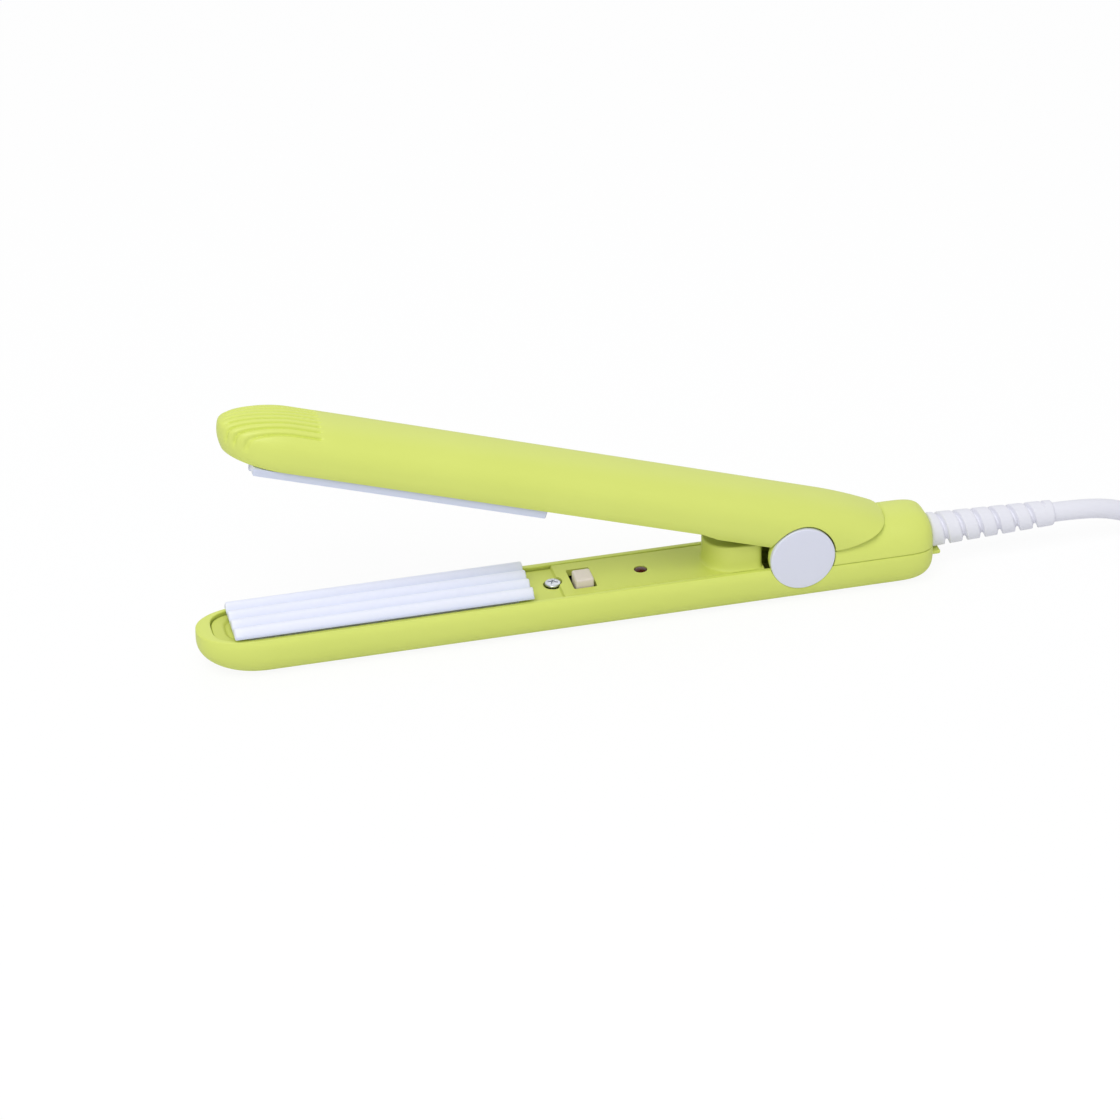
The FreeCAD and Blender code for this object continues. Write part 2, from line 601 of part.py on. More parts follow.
def upper_lead_wires():
    """The wires from the upper heater to the hinge, over the carrier's roof."""
    heater = (stack_levels(1)[1] + stack_levels(1)[2]) / 2
    level = ROOF_TOP + WIRE_RADIUS + FIT
    start = PLATE_END - HEATER_INSET + FIT
    climb = start + ROOF_STRAIGHT
    points = ((start, heater), (climb, heater), (climb + ROOF_RISE, level), (0.0, level))
    return wires(points, (WIRE_SPREAD, WIRE_SPREAD, ROOF_SPREAD, ROOF_SPREAD))


def mains_lead():
    """The cord's jacket inside the housing and its two cores to the board."""
    jacket = Part.makeCylinder(JACKET_RADIUS, FLANGE_X - JACKET_START,
                               V(JACKET_START, 0, CORD_Z), ALONG)
    level = LOWER_BELT - LOWER_DEPTH + WALL + WIRE_RADIUS + CORE_CLEAR
    bend = JACKET_START - CORE_STRAIGHT
    points = ((JACKET_START, CORD_Z), (bend, CORD_Z - CORE_FALL),
              (bend - CORE_RUN, level), (BOARD_END, level))
    spread = (CORE_SPREAD, CORE_SPREAD, FLOOR_SPREAD, FLOOR_SPREAD)
    return Part.makeCompound([jacket, wires(points, spread)])


def cord_clamp():
    """The bar that grips the cord's jacket in the rear housing."""
    under = CORD_Z - JACKET_RADIUS - CLAMP_SOLE
    start = JACKET_START + CLAMP_START
    end = start + CLAMP_LENGTH
    saddle = box(start, end, -CLAMP_HALF, CLAMP_HALF, under, CORD_Z - CLAMP_TOP)
    saddle = saddle.cut(Part.makeCylinder(JACKET_RADIUS + PIN_PLAY, BIG, V(0, 0, CORD_Z), ALONG))
    leg_foot = LOWER_BELT - LOWER_DEPTH
    leg = box(start + CLAMP_LEG, end - CLAMP_LEG, -CLAMP_HALF / 2, CLAMP_HALF / 2, leg_foot, under)
    return saddle.fuse(leg.common(rear_solid(WALL))).removeSplitter()


def arm_spring():
    """The compression coil that holds the jaws open, standing in the boss."""
    angle = math.radians(OPEN_ANGLE)
    low_side = SPRING_X + SPRING_RADIUS + SPRING_WIRE
    along = (low_side - ROOF * math.sin(angle)) / math.cos(angle)
    seat = -along * math.sin(angle) + ROOF * math.cos(angle)
    bottom = SPRING_FLOOR + SPRING_WIRE + PIN_PLAY
    height = seat - FIT - SPRING_WIRE - bottom
    helix = Part.makeHelix(height / SPRING_TURNS, height, SPRING_RADIUS)
    helix.translate(V(SPRING_X, 0, bottom))
    start = V(SPRING_X + SPRING_RADIUS, 0, bottom)
    ring = Part.Wire(Part.Circle(start, ACROSS, SPRING_WIRE).toShape())
    return Part.Wire(helix.Edges).makePipeShell([ring], True, True)


# ---- hinge ----------------------------------------------------------------------------------
def hinge_pin():
    """The steel pin through ears and barrel."""
    return round_across(PIN_RADIUS, -EAR_OUTER, EAR_OUTER)


def hinge_cap(side):
    """A round cap over one end of the pin."""
    start = EAR_OUTER + PIN_PLAY
    disc = Part.makeCylinder(CAP_RADIUS, CAP_FACE - start, V(0, side * start, 0), V(0, side, 0))
    rims = [e for e in disc.Edges if abs(abs(e.CenterOfMass.y) - CAP_FACE) < PIN_PLAY]
    return disc.makeFillet(CAP_EDGE, rims)


# ---- the upper arm --------------------------------------------------------------------------
def upper_casing():
    """The upper shell; its tail closes over the hinge onto the rear cover."""
    form = upper_solid(0)
    shell = form.cut(upper_solid(WALL))
    side_view = [V(-BIG, -BIG, UPPER_RIM), V(SKIRT_START, -BIG, UPPER_RIM),
                 V(SKIRT_START + SKIRT_RUN, -BIG, SKIRT_RIM), V(0, -BIG, SKIRT_RIM),
                 V(0, -BIG, BIG), V(-BIG, -BIG, BIG)]
    front = Part.Face(Part.makePolygon(side_view + side_view[:1])).extrude(V(0, 2 * BIG, 0))
    angle = math.radians(OPEN_ANGLE)
    crescent_x = CRESCENT_X * math.cos(angle) - CRESCENT_Z * math.sin(angle)
    crescent_z = CRESCENT_X * math.sin(angle) + CRESCENT_Z * math.cos(angle)
    edge = CRESCENT_RADIUS - RUNNING_GAP / 2
    tail = round_across(edge, -BIG, BIG, crescent_x, crescent_z)
    tail = tail.common(box(0, BIG, -BIG, BIG, SKIRT_RIM, BIG))
    shell = shell.common(front).fuse(shell.common(tail)).removeSplitter()
    shell = shell.fuse(post(HINGE_SCREW_X, 0, ROOF_TOP, BIG, POST_RADIUS, form))
    shell = shell.fuse(post(SCREW_X, 0, UPPER_PANEL_LOW + PANEL_THICK, BIG, POST_RADIUS, form))
    shell = shell.cut(round_across(HUB_CUT, -BIG, BIG))
    shell = shell.cut(screw_bore(HINGE_SCREW_X, 0, ROOF, 1, HINGE_SCREW_LENGTH))
    shell = shell.cut(screw_bore(SCREW_X, 0, UPPER_PANEL_LOW, 1))
    return shell.removeSplitter()


def upper_inner_panel():
    """The upper jaw's cover with the hinge carrier: pocket, roof and barrel."""
    form = upper_solid(WALL + FIT)
    low, top = UPPER_PANEL_LOW, ROOF_TOP
    panel = form.common(box(-BIG, POCKET_FRONT, -BIG, BIG, low, low + PANEL_THICK))
    wall = box(POCKET_FRONT - PANEL_THICK, POCKET_FRONT, -CARRIER_NARROW, CARRIER_NARROW, low, top)
    roof = box(POCKET_FRONT - PANEL_THICK, CARRIER_REACH, -CARRIER_NARROW, CARRIER_NARROW, ROOF, top)
    web = box(-CARRIER_REACH, CARRIER_REACH, -CARRIER_NARROW, CARRIER_NARROW, 0, ROOF)
    barrel = round_across(BARREL_RADIUS, -CARRIER_NARROW, CARRIER_NARROW)
    panel = panel.fuse([wall, roof, web, barrel])
    panel = panel.cut(plate_opening(1))
    panel = panel.cut(round_across(PIN_RADIUS + PIN_PLAY, -BIG, BIG))
    panel = panel.cut(screw_hole(HINGE_SCREW_X, 0, ROOF, 1))
    return panel.cut(screw_hole(SCREW_X, 0, low, 1)).removeSplitter()


# ---- cord ---------------------------------------------------------------------------------
def strain_relief():
    """The tapered boot round the cord, held by its flange in the housing."""
    outside = REAR_END + LIP_LENGTH + FIT
    end = REAR_END + BOOT_LENGTH
    flange = Part.makeCylinder(BOOT_FLANGE, BOOT_FLANGE_THICK, V(FLANGE_X, 0, CORD_Z), ALONG)
    neck = Part.makeCylinder(BOOT_NECK, outside + 1 - FLANGE_X, V(FLANGE_X, 0, CORD_Z), ALONG)
    sleeve = Part.makeCone(BOOT_START_RADIUS, BOOT_END_RADIUS, end - outside - 1,
                           V(outside + 1, 0, CORD_Z), ALONG)
    collar = Part.makeCone(BOOT_NECK, BOOT_START_RADIUS, 1, V(outside, 0, CORD_Z), ALONG)
    return flange.fuse([neck, collar, sleeve]).removeSplitter()


def cord_route():
    """The cord's points from the boot down to the floor and on to the coil."""
    floor = CORD_RADIUS - FLOOR_DROP
    start = REAR_END + BOOT_LENGTH
    return [V(start, 0.0, CORD_Z), V(start + 8.5, 0.0, CORD_Z), V(start + 17.5, 0.3, CORD_Z - 1.9),
            V(start + 26.5, 0.1, CORD_Z - 6.2), V(start + 35.5, -0.3, floor), V(start + 44.5, 0.0, floor)]


def power_cord():
    """The free cord between the boot and the coil."""
    return tube(cord_route(), CORD_RADIUS, "power_cord")


def hank_block(radius):
    """A round-ended block about the hank's middle."""
    block = box(COIL_X - COIL_RUN / 2, COIL_X + COIL_RUN / 2, COIL_Y - radius, COIL_Y + radius,
                -FLOOR_DROP, COIL_THICK - FLOOR_DROP)
    for side in (-1, 1):
        middle = V(COIL_X + side * COIL_RUN / 2, COIL_Y, -FLOOR_DROP)
        block = block.fuse(Part.makeCylinder(radius, COIL_THICK, middle, UP))
    return block.removeSplitter()


def cord_coil():
    """The put-away length, folded in line with the arms, as one ring of its outer shape."""
    ring = hank_block(COIL_OUTER).cut(hank_block(COIL_INNER))
    rims = [e for e in ring.Edges if e.BoundBox.ZLength < 0.001]
    return ring.makeFillet(CORD_RADIUS * 0.9, rims)


def plug_place():
    """Centre of the plug's cord end, lying on the hank; the plug points back along the arms."""
    return V(COIL_X + PLUG_SET, COIL_Y - COIL_OUTER + PLUG_WIDTH / 2,
             COIL_THICK - FLOOR_DROP + PLUG_THICK / 2)


def plug_body():
    """The moulded plug, tapering to its cord end."""
    at = plug_place()
    sections = []
    for along, width, thick in ((0.0, 0.42, 0.46), (0.35, 0.6, 0.62), (0.62, 1.0, 1.0), (1.0, 1.0, 1.0)):
        x = at.x - PLUG_LENGTH * along
        half_w, half_t = PLUG_WIDTH * width / 2, PLUG_THICK * thick / 2
        sections.append(Part.Wire([Part.LineSegment(V(x, at.y + a * half_w, at.z + b * half_t),
                                                    V(x, at.y + c * half_w, at.z + d * half_t)).toShape()
                                   for a, b, c, d in ((-1, -1, 1, -1), (1, -1, 1, 1),
                                                      (1, 1, -1, 1), (-1, 1, -1, -1))]))
    return Part.makeLoft(sections, True, True)


def plug_pins():
    """The plug's two round pins."""
    at = plug_place()
    pins = []
    for side in (-1, 1):
        base = V(at.x - PLUG_LENGTH, at.y + side * PLUG_PIN_SPACING / 2, at.z)
        pins.append(Part.makeCylinder(PLUG_PIN_RADIUS, PLUG_PIN_LENGTH, base, -ALONG))
    return Part.makeCompound(pins)


# ---- the assembly ---------------------------------------------------------------------------
def lower_screws():
    """The two screws up into the rear cover."""
    pair = []
    for side in (-1, 1):
        pair.append(screw(REAR_SCREW_X, side * REAR_SCREW_Y, -FLOOR_DROP, 1, REAR_SCREW_LENGTH))
    return Part.makeCompound(pair)


def upper_screws():
    """The screws that hold the upper panel and the hinge carrier."""
    return Part.makeCompound([screw(SCREW_X, 0, UPPER_PANEL_LOW, 1),
                              screw(HINGE_SCREW_X, 0, ROOF, 1, HINGE_SCREW_LENGTH)])


def fixed_parts():
    """Every piece that stays with the lower arm."""
    parts = {"lower_casing": lower_casing(), "lower_inner_panel": lower_inner_panel(),
             "rear_cover": rear_cover(), "lower_crimp_plate": crimp_plate(-1),
             "lower_heater_element": heater_element(-1), "lower_heater_clamp": heater_clamp(-1),
             "lower_plate_carrier": plate_carrier(-1, lower_solid(WALL + FIT, 0.0)),
             "panel_screw": screw(SCREW_X, 0, LOWER_PANEL_TOP, -1), "rear_screws": lower_screws(),
             "switch_slider": switch_slider(), "switch_body": switch_body(),
             "indicator_lamp": indicator_lamp(), "circuit_board": circuit_board(),
             "board_components": board_components(), "lower_lead_wires": lower_lead_wires(),
             "mains_lead": mains_lead(), "cord_clamp": cord_clamp(), "hinge_pin": hinge_pin(),
             "hinge_cap_near": hinge_cap(-1), "hinge_cap_far": hinge_cap(1),
             "arm_spring": arm_spring(), "strain_relief": strain_relief(),
             "power_cord": power_cord(), "cord_coil": cord_coil(),
             "plug_body": plug_body(), "plug_pins": plug_pins()}
    return parts


def moving_parts():
    """Every piece that turns with the upper arm."""
    parts = {"upper_casing": upper_casing(), "upper_inner_panel": upper_inner_panel(),
             "upper_crimp_plate": crimp_plate(1), "upper_heater_element": heater_element(1),
             "upper_heater_clamp": heater_clamp(1),
             "upper_plate_carrier": plate_carrier(1, upper_solid(WALL + FIT)),
             "upper_screws": upper_screws(), "upper_lead_wires": upper_lead_wires()}
    return parts


def main():
    """Build every node, open the upper arm and write the files."""
    os.makedirs("parts", exist_ok=True)
    moving = moving_parts()
    for shape in moving.values():
        shape.rotate(V(0, 0, 0), ACROSS, OPEN_ANGLE)
    nodes = {**fixed_parts(), **moving}
    for name, shape in nodes.items():
        shape.translate(V(BODY_SHIFT, 0, FLOOR_DROP))
        state = "" if shape.isValid() else "  NOT VALID"
        print(f"{name}: {len(shape.Solids)} solid(s), {shape.Volume:.1f} mm3{state}")
        shape.exportStep(f"parts/{name}.step")


main()
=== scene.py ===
"""The looks of a slim hair crimper: two lime arms on a hinge, white waved plates, a white cord.

Shapes are drawn in millimetres about the hinge axis (X towards the cord, Y across, Z up) with
the jaws closed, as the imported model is, and are then placed at rest in metres. The upper arm's
pieces are turned open about the hinge on the way.
"""

import json
import logging
import math
from collections.abc import Callable
from dataclasses import dataclass, field, replace
from enum import Enum

import bmesh
import bpy
import numpy as np
from mathutils import Matrix, Vector


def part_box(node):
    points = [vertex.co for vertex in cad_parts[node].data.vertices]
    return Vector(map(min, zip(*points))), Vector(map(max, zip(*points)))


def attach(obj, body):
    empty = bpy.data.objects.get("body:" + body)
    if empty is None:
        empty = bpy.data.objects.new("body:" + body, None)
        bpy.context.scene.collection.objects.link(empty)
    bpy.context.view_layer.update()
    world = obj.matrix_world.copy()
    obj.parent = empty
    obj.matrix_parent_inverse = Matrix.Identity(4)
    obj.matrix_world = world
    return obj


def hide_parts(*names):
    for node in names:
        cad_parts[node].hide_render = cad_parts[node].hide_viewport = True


LOG = logging.getLogger("crimper")
MM = 0.001
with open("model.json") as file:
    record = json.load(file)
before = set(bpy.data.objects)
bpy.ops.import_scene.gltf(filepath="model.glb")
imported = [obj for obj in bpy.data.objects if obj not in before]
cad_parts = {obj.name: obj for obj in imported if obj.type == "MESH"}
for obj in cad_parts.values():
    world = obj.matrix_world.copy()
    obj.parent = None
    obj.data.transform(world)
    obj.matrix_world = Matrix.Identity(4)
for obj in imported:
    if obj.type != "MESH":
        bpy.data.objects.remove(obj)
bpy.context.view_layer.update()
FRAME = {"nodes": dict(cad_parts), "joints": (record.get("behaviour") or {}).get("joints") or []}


# ---- places -----------------------------------------------------------------------------------
class Arm(Enum):
    """The body that a piece is drawn for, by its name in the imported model."""

    LOWER = "lower_arm"
    UPPER = "upper_arm"
    KNOB = "switch_knob"


@dataclass(frozen=True)
class Hinge:
    """The hinge axis at rest and the angle that the upper arm stands open by."""

    place: tuple[float, float, float]
    angle: float

    @staticmethod
    def from_frame() -> "Hinge":
        """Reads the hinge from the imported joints.

        Returns:
            The hinge, with its place in millimetres.
        """
        joint = next(j for j in FRAME["joints"] if j["name"] == "arm_hinge")
        place = tuple(value / MM for value in joint["pos_m"])
        return Hinge(place, math.radians(joint["range_deg"][1]))

    def at_rest(self, points: np.ndarray, arm: Arm) -> np.ndarray:
        """Moves points from the drawing to their place at rest.

        Args:
            points: array (..., 3) in millimetres about the hinge, jaws closed.
            arm: the body that the points belong to.

        Returns:
            The points in metres. The upper arm's are turned by the open angle a about Y:
            x' = x cos a + z sin a and z' = z cos a - x sin a.
        """
        x, y, z = points[..., 0], points[..., 1], points[..., 2]
        if arm is Arm.UPPER:
            c, s = math.cos(self.angle), math.sin(self.angle)
            x, z = x * c + z * s, z * c - x * s
        return (np.stack([x, y, z], axis=-1) + np.array(self.place)) * MM


HINGE = Hinge.from_frame()


def closed_box(node: str) -> tuple[np.ndarray, np.ndarray]:
    """A lower arm node's corners in millimetres about the hinge.

    Args:
        node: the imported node's name.

    Returns:
        Its lower and upper corners.
    """
    low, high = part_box(node)
    place = np.array(HINGE.place)
    return np.array(low) / MM - place, np.array(high) / MM - place


# ---- meshes -----------------------------------------------------------------------------------
SHARP = 35.0


@dataclass(frozen=True)
class Sheet:
    """A grid of points, (rows, columns, 3), and how its edges close."""

    points: np.ndarray
    wrap_rows: bool = False
    wrap_columns: bool = False
    cap_columns: bool = False

    def faces(self) -> np.ndarray:
        """Quads between neighbouring points: (r, c), (r, c+1), (r+1, c+1), (r+1, c).

        Returns:
            The point numbers of each quad, (faces, 4).
        """
        rows, columns = self.points.shape[:2]
        index = np.arange(rows * columns).reshape(rows, columns)
        if self.wrap_rows:
            index = np.concatenate([index, index[:1]], axis=0)
        if self.wrap_columns:
            index = np.concatenate([index, index[:, :1]], axis=1)
        quads = np.stack([index[:-1, :-1], index[:-1, 1:], index[1:, 1:], index[1:, :-1]], axis=-1)
        faces = [quads.reshape(-1, 4)]
        if self.cap_columns:
            half = rows // 2
            for edge in (index[:rows, 0], index[:rows, -1]):
                a, b = edge[:half], edge[::-1][:half]
                cap = np.stack([a[:-1], a[1:], b[1:], b[:-1]], axis=-1)
                faces.append(cap)
        return np.concatenate(faces)


def make_piece(name: str, sheets: list[Sheet], arm: Arm, sharp: float = SHARP) -> bpy.types.Object:
    """Makes one closed object from grids, smooth but for edges sharper than an angle.

    Args:
        name: the piece's name.
        sheets: its closed grids, in millimetres about the hinge.
        arm: the body that it rides on.
        sharp: the angle in degrees past which an edge stays crisp.

    Returns:
        The object, at the origin, riding on its body.
    """
    piece = loose_object(name, sheets, arm, sharp)
    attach(piece, arm.value)
    return piece


def loose_object(name: str, sheets: list[Sheet], arm: Arm, sharp: float = SHARP) -> bpy.types.Object:
    """Makes the object of make_piece, which takes the same arguments, riding on nothing yet.

    Args:
        name: the object's name.
        sheets: its grids, in millimetres about the hinge.
        arm: the body that its points belong to.
        sharp: the angle in degrees past which an edge stays crisp.

    Returns:
        The object, at the origin.
    """
    mesh = bpy.data.meshes.new(name)
    points, faces, start = [], [], 0
    for sheet in sheets:
        flat = HINGE.at_rest(sheet.points, arm).reshape(-1, 3)
        points.append(flat)
        faces.append(sheet.faces() + start)
        start += len(flat)
    mesh.from_pydata(np.concatenate(points), [], np.concatenate(faces).tolist())
    piece = bpy.data.objects.new(name, mesh)
    bpy.context.scene.collection.objects.link(piece)
    tidy_mesh(mesh, sharp)
    return piece


def cut_and_join(piece: bpy.types.Object, holes: list[Sheet], extras: list[Sheet], arm: Arm) -> None:
    """Cuts closed grids out of a piece and then adds more closed grids to its mesh.

    Args:
        piece: the object, whose mesh is replaced.
        holes: closed grids that are cut out.
        extras: closed grids that are added after the cuts.
        arm: the body that the piece rides on.
    """
    tools = [loose_object(f"{piece.name}_hole_{number}", [hole], arm) for number, hole in enumerate(holes)]
    for tool in tools:
        cut = piece.modifiers.new("hole", "BOOLEAN")
        cut.operation, cut.solver, cut.object = "DIFFERENCE", "EXACT", tool
    graph = bpy.context.evaluated_depsgraph_get()
    mesh = bpy.data.meshes.new_from_object(piece.evaluated_get(graph))
    piece.modifiers.clear()
    more = loose_object(f"{piece.name}_more", extras, arm)
    work = bmesh.new()
    work.from_mesh(mesh)
    work.from_mesh(more.data)
    work.to_mesh(mesh)
    work.free()
    piece.data = mesh
    shade(mesh, SHARP)
    for tool in [*tools, more]:
        bpy.data.objects.remove(tool, do_unlink=True)


def shade(mesh: bpy.types.Mesh, sharp: float) -> None:
    """Makes faces smooth, but for edges sharper than an angle in degrees."""
    mesh.polygons.foreach_set("use_smooth", np.ones(len(mesh.polygons), dtype=bool))
    mesh.set_sharp_from_angle(angle=math.radians(sharp))


def tidy_mesh(mesh: bpy.types.Mesh, sharp: float, weld: float = 2e-6) -> None:
    """Welds doubled points, drops faces without area, turns faces outwards and sets sharp edges.

    Args:
        mesh: the mesh, changed in place.
        sharp: the angle in degrees past which an edge stays crisp.
        weld: points nearer than this many metres are one point.
    """
    work = bmesh.new()
    work.from_mesh(mesh)
    bmesh.ops.remove_doubles(work, verts=work.verts, dist=weld)
    bmesh.ops.dissolve_degenerate(work, edges=work.edges, dist=weld)
    bmesh.ops.recalc_face_normals(work, faces=work.faces)
    work.to_mesh(mesh)
    work.free()
    shade(mesh, sharp)
    mesh.update()


def lathe(profile: np.ndarray, axis: str, centre: tuple[float, float, float], turns: int = 96) -> Sheet:
    """A turned form.

    Args:
        profile: (radius, along) pairs from one end of the axis to the other.
        axis: "x", "y" or "z", with a "-" before it to point the other way.
        centre: the point on the axis where along is 0.
        turns: points around.

    Returns:
        A grid with point = centre + axis * along + radius * (cos t, sin t) across the axis.
    """
    sign = -1.0 if axis.startswith("-") else 1.0
    t = np.linspace(0, 2 * np.pi, turns, endpoint=False)
    radius, along = profile[:, :1], profile[:, 1:] * sign
    a, b, c = radius * np.cos(t), radius * np.sin(t), along + 0 * t
    order = {"x": (c, a, b), "y": (a, c, b), "z": (a, b, c)}[axis[-1]]
    return Sheet(np.stack(order, axis=-1) + np.array(centre), wrap_columns=True)


def drill(radius: float, low: float, high: float, place: tuple[float, float]) -> Sheet:
    """An upright cylinder that cuts a round hole.

    Args:
        radius: the hole's radius.
        low: the level where it starts.
        high: the level where it ends.
        place: its middle, (x, y).

    Returns:
        The cylinder, closed at both ends.
    """
    return lathe(np.array([[0, low], [radius, low], [radius, high], [0, high]]), "z", (*place, 0))


def smooth(t: np.ndarray) -> np.ndarray:
    """A smooth step, t^2 (3 - 2 t), for t from 0 to 1."""
    return t * t * (3 - 2 * t)


def arc(centre: tuple[float, float], radius: float, start: float, end: float, steps: int = 7) -> np.ndarray:
    """Points (a, b) = centre + radius (cos t, sin t), with t from start to end in degrees."""
    t = np.radians(np.linspace(start, end, steps))
    return np.stack([centre[0] + radius * np.cos(t), centre[1] + radius * np.sin(t)], axis=-1)


def round_corners(low: np.ndarray, high: np.ndarray, radius: float, steps: int) -> tuple:
    """The corner circles of a rounded rectangle, whose outline is centre + radius (cos t, sin t).

    Args:
        low: its lower corner, (a, b).
        high: its upper corner.
        radius: the radius of its corners.
        steps: points on each corner.

    Returns:
        The angles t and each one's centre, as arrays a and b.
    """
    turn = np.concatenate([np.linspace(0, np.pi / 2, steps) + k * np.pi / 2 for k in range(4)])
    right, top = np.repeat([1, 0, 0, 1], steps), np.repeat([1, 1, 0, 0], steps)
    centre_a = np.where(right, high[0] - radius, low[0] + radius)
    centre_b = np.where(top, high[1] - radius, low[1] + radius)
    return turn, (centre_a, centre_b)


def rounded_box(low: tuple, high: tuple, radius: float, steps: int = 5) -> Sheet:
    """A box with round edges, as a stack of rounded rectangles.

    Each level's outline is a rectangle whose corners are quarter circles, drawn in by
    radius (1 - sin t) as the level nears the top or the bottom at angle t.

    Args:
        low: its lower corner, (x, y, z).
        high: its upper corner.
        radius: the radius of every edge.
        steps: points on each quarter circle.

    Returns:
        The box as one closed grid.
    """
    low, high = np.array(low, float), np.array(high, float)
    quarter = np.linspace(0, np.pi / 2, steps)
    turn, (corner_x, corner_y) = round_corners(low[:2], high[:2], radius, steps)
    lift = np.concatenate([quarter - np.pi / 2, quarter])
    reach = radius * np.cos(lift)
    z = np.where(lift < 0, low[2] + radius, high[2] - radius) + radius * np.sin(lift)
    x = corner_x + reach[:, None] * np.cos(turn)
    y = corner_y + reach[:, None] * np.sin(turn)
    grid = np.stack([x, y, z[:, None] + 0 * x], axis=-1)
    middle = (low + high) / 2
    ends = [np.broadcast_to([middle[0], middle[1], level], grid[:1].shape) for level in (low[2], high[2])]
    return Sheet(np.concatenate([ends[0], grid, ends[1]]), wrap_columns=True)


# ---- finishes ---------------------------------------------------------------------------------
BUMP_DISTANCE = 0.0001


def linear(red: int, green: int, blue: int) -> tuple[float, float, float, float]:
    """A screen colour, 0 to 255, as linear light.

    Args:
        red: red, 0 to 255.
        green: green, 0 to 255.
        blue: blue, 0 to 255.

    Returns:
        Red, green, blue and an alpha of 1.
    """
    parts = np.array([red, green, blue]) / 255
    light = np.where(parts <= 0.04045, parts / 12.92, ((parts + 0.055) / 1.055) ** 2.4)
    return (*(float(v) for v in light), 1.0)


class Surface:
    """Builds one node material around a Principled shader."""

    def __init__(self, name: str) -> None:
        """Starts an empty material with its shader and Object coordinates.

        Args:
            name: the material's name.
        """
        self.material = bpy.data.materials.new(name)
        self.material.use_nodes = True
        self.nodes = self.material.node_tree.nodes
        self.links = self.material.node_tree.links
        self.nodes.clear()
        self.output = self.nodes.new("ShaderNodeOutputMaterial")
        self.shader = self.nodes.new("ShaderNodeBsdfPrincipled")
        self.links.new(self.shader.outputs[0], self.output.inputs["Surface"])
        self.coords = self.nodes.new("ShaderNodeTexCoord")

    def dress(self, tree: bpy.types.NodeTree, **values: object) -> None:
        """Feeds the shader's colour, roughness and normal from a shared group.

        Args:
            tree: the group, which takes Object coordinates.
            values: its inputs, with underscores for spaces.
        """
        node = self.nodes.new("ShaderNodeGroup")
        node.node_tree = tree
        self.links.new(self.coords.outputs["Object"], node.inputs["Vector"])
        for name, value in values.items():
            node.inputs[name.replace("_", " ")].default_value = value
        for target, source in {"Base Color": "Color", "Roughness": "Roughness", "Normal": "Normal"}.items():
            self.links.new(node.outputs[source], self.shader.inputs[target])

    def plain(self, **values: float) -> None:
        """Sets uniform values on the shader's own sockets."""
        for name, value in values.items():
            self.shader.inputs[name.replace("_", " ")].default_value = value


class GroupTree:
    """Builds one shader node group with named inputs and outputs."""

    def __init__(self, name: str, inputs: dict[str, tuple[str, object]]) -> None:
        """Starts the group.

        Args:
            name: its name.
            inputs: socket name to (kind, default), where kind is Float, Color or Vector. Every group
                also takes the vector, the two tones and the gloss, and gives colour, roughness and normal.
        """
        self.tree = bpy.data.node_groups.new(name, "ShaderNodeTree")
        white = ("Color", (1, 1, 1, 1))
        shared = {"Vector": ("Vector", None), "Tone A": white, "Tone B": white,
                  "Gloss Floor": ("Float", 0.3), "Gloss Spread": ("Float", 0.1)}
        for label, (kind, default) in {**shared, **inputs}.items():
            socket = self.tree.interface.new_socket(label, in_out="INPUT", socket_type="NodeSocket" + kind)
            if default is not None:
                socket.default_value = default
        for label, kind in {"Color": "Color", "Roughness": "Float", "Normal": "Vector"}.items():
            self.tree.interface.new_socket(label, in_out="OUTPUT", socket_type="NodeSocket" + kind)
        self.given = self.tree.nodes.new("NodeGroupInput").outputs
        self.out = self.tree.nodes.new("NodeGroupOutput").inputs

    def set(self, socket: bpy.types.NodeSocket, value: object) -> None:
        """Links a socket to another one, or sets its value.

        Args:
            socket: the input to feed.
            value: an output socket or a plain value.
        """
        if isinstance(value, bpy.types.NodeSocket):
            self.tree.links.new(value, socket)
        else:
            socket.default_value = value

    def math(self, kind: str, *operands: object) -> bpy.types.NodeSocket:
        """Adds one math node.

        Args:
            kind: its operation.
            operands: output sockets or numbers, in order.

        Returns:
            Its result.
        """
        node = self.tree.nodes.new("ShaderNodeMath")
        node.operation = kind
        for socket, operand in zip(node.inputs, operands):
            self.set(socket, operand)
        return node.outputs[0]

    def noise(self, vector: bpy.types.NodeSocket, scale: object, detail: float) -> bpy.types.NodeSocket:
        """Adds a noise.

        Args:
            vector: the coordinates.
            scale: an output socket or a number.
            detail: how many finer layers it has.

        Returns:
            Its value, about 0 to 1.
        """
        node = self.tree.nodes.new("ShaderNodeTexNoise")
        self.set(node.inputs["Vector"], vector)
        self.set(node.inputs["Scale"], scale)
        self.set(node.inputs["Detail"], detail)
        return node.outputs["Fac"]

    def blend(self, factor: bpy.types.NodeSocket, first: bpy.types.NodeSocket,
              second: bpy.types.NodeSocket) -> bpy.types.NodeSocket:
        """Adds a mix of two colours.

        Args:
            factor: the share of the second.
            first: one colour.
            second: the other colour.

        Returns:
            The mixed colour.
        """
        node = self.tree.nodes.new("ShaderNodeMix")
        node.data_type = "RGBA"
        for label, value in (("Factor", factor), ("A", first), ("B", second)):
            self.set(node.inputs[label], value)
        return node.outputs["Result"]

    def finish(self, colour: bpy.types.NodeSocket, grain: bpy.types.NodeSocket, strength: object) -> None:
        """Links the outputs: Roughness = Gloss Floor + Gloss Spread * grain, Normal = bump of the grain.

        Args:
            colour: the colour to put out.
            grain: the noise that moves the gloss and the bump.
            strength: the bump's strength, an output socket or a number.
        """
        rough = self.math("MULTIPLY_ADD", grain, self.given["Gloss Spread"], self.given["Gloss Floor"])
        bump = self.tree.nodes.new("ShaderNodeBump")
        for label, value in (("Distance", BUMP_DISTANCE), ("Strength", strength), ("Height", grain)):
            self.set(bump.inputs[label], value)
        for label, value in (("Color", colour), ("Roughness", rough), ("Normal", bump.outputs["Normal"])):
            self.set(self.out[label], value)


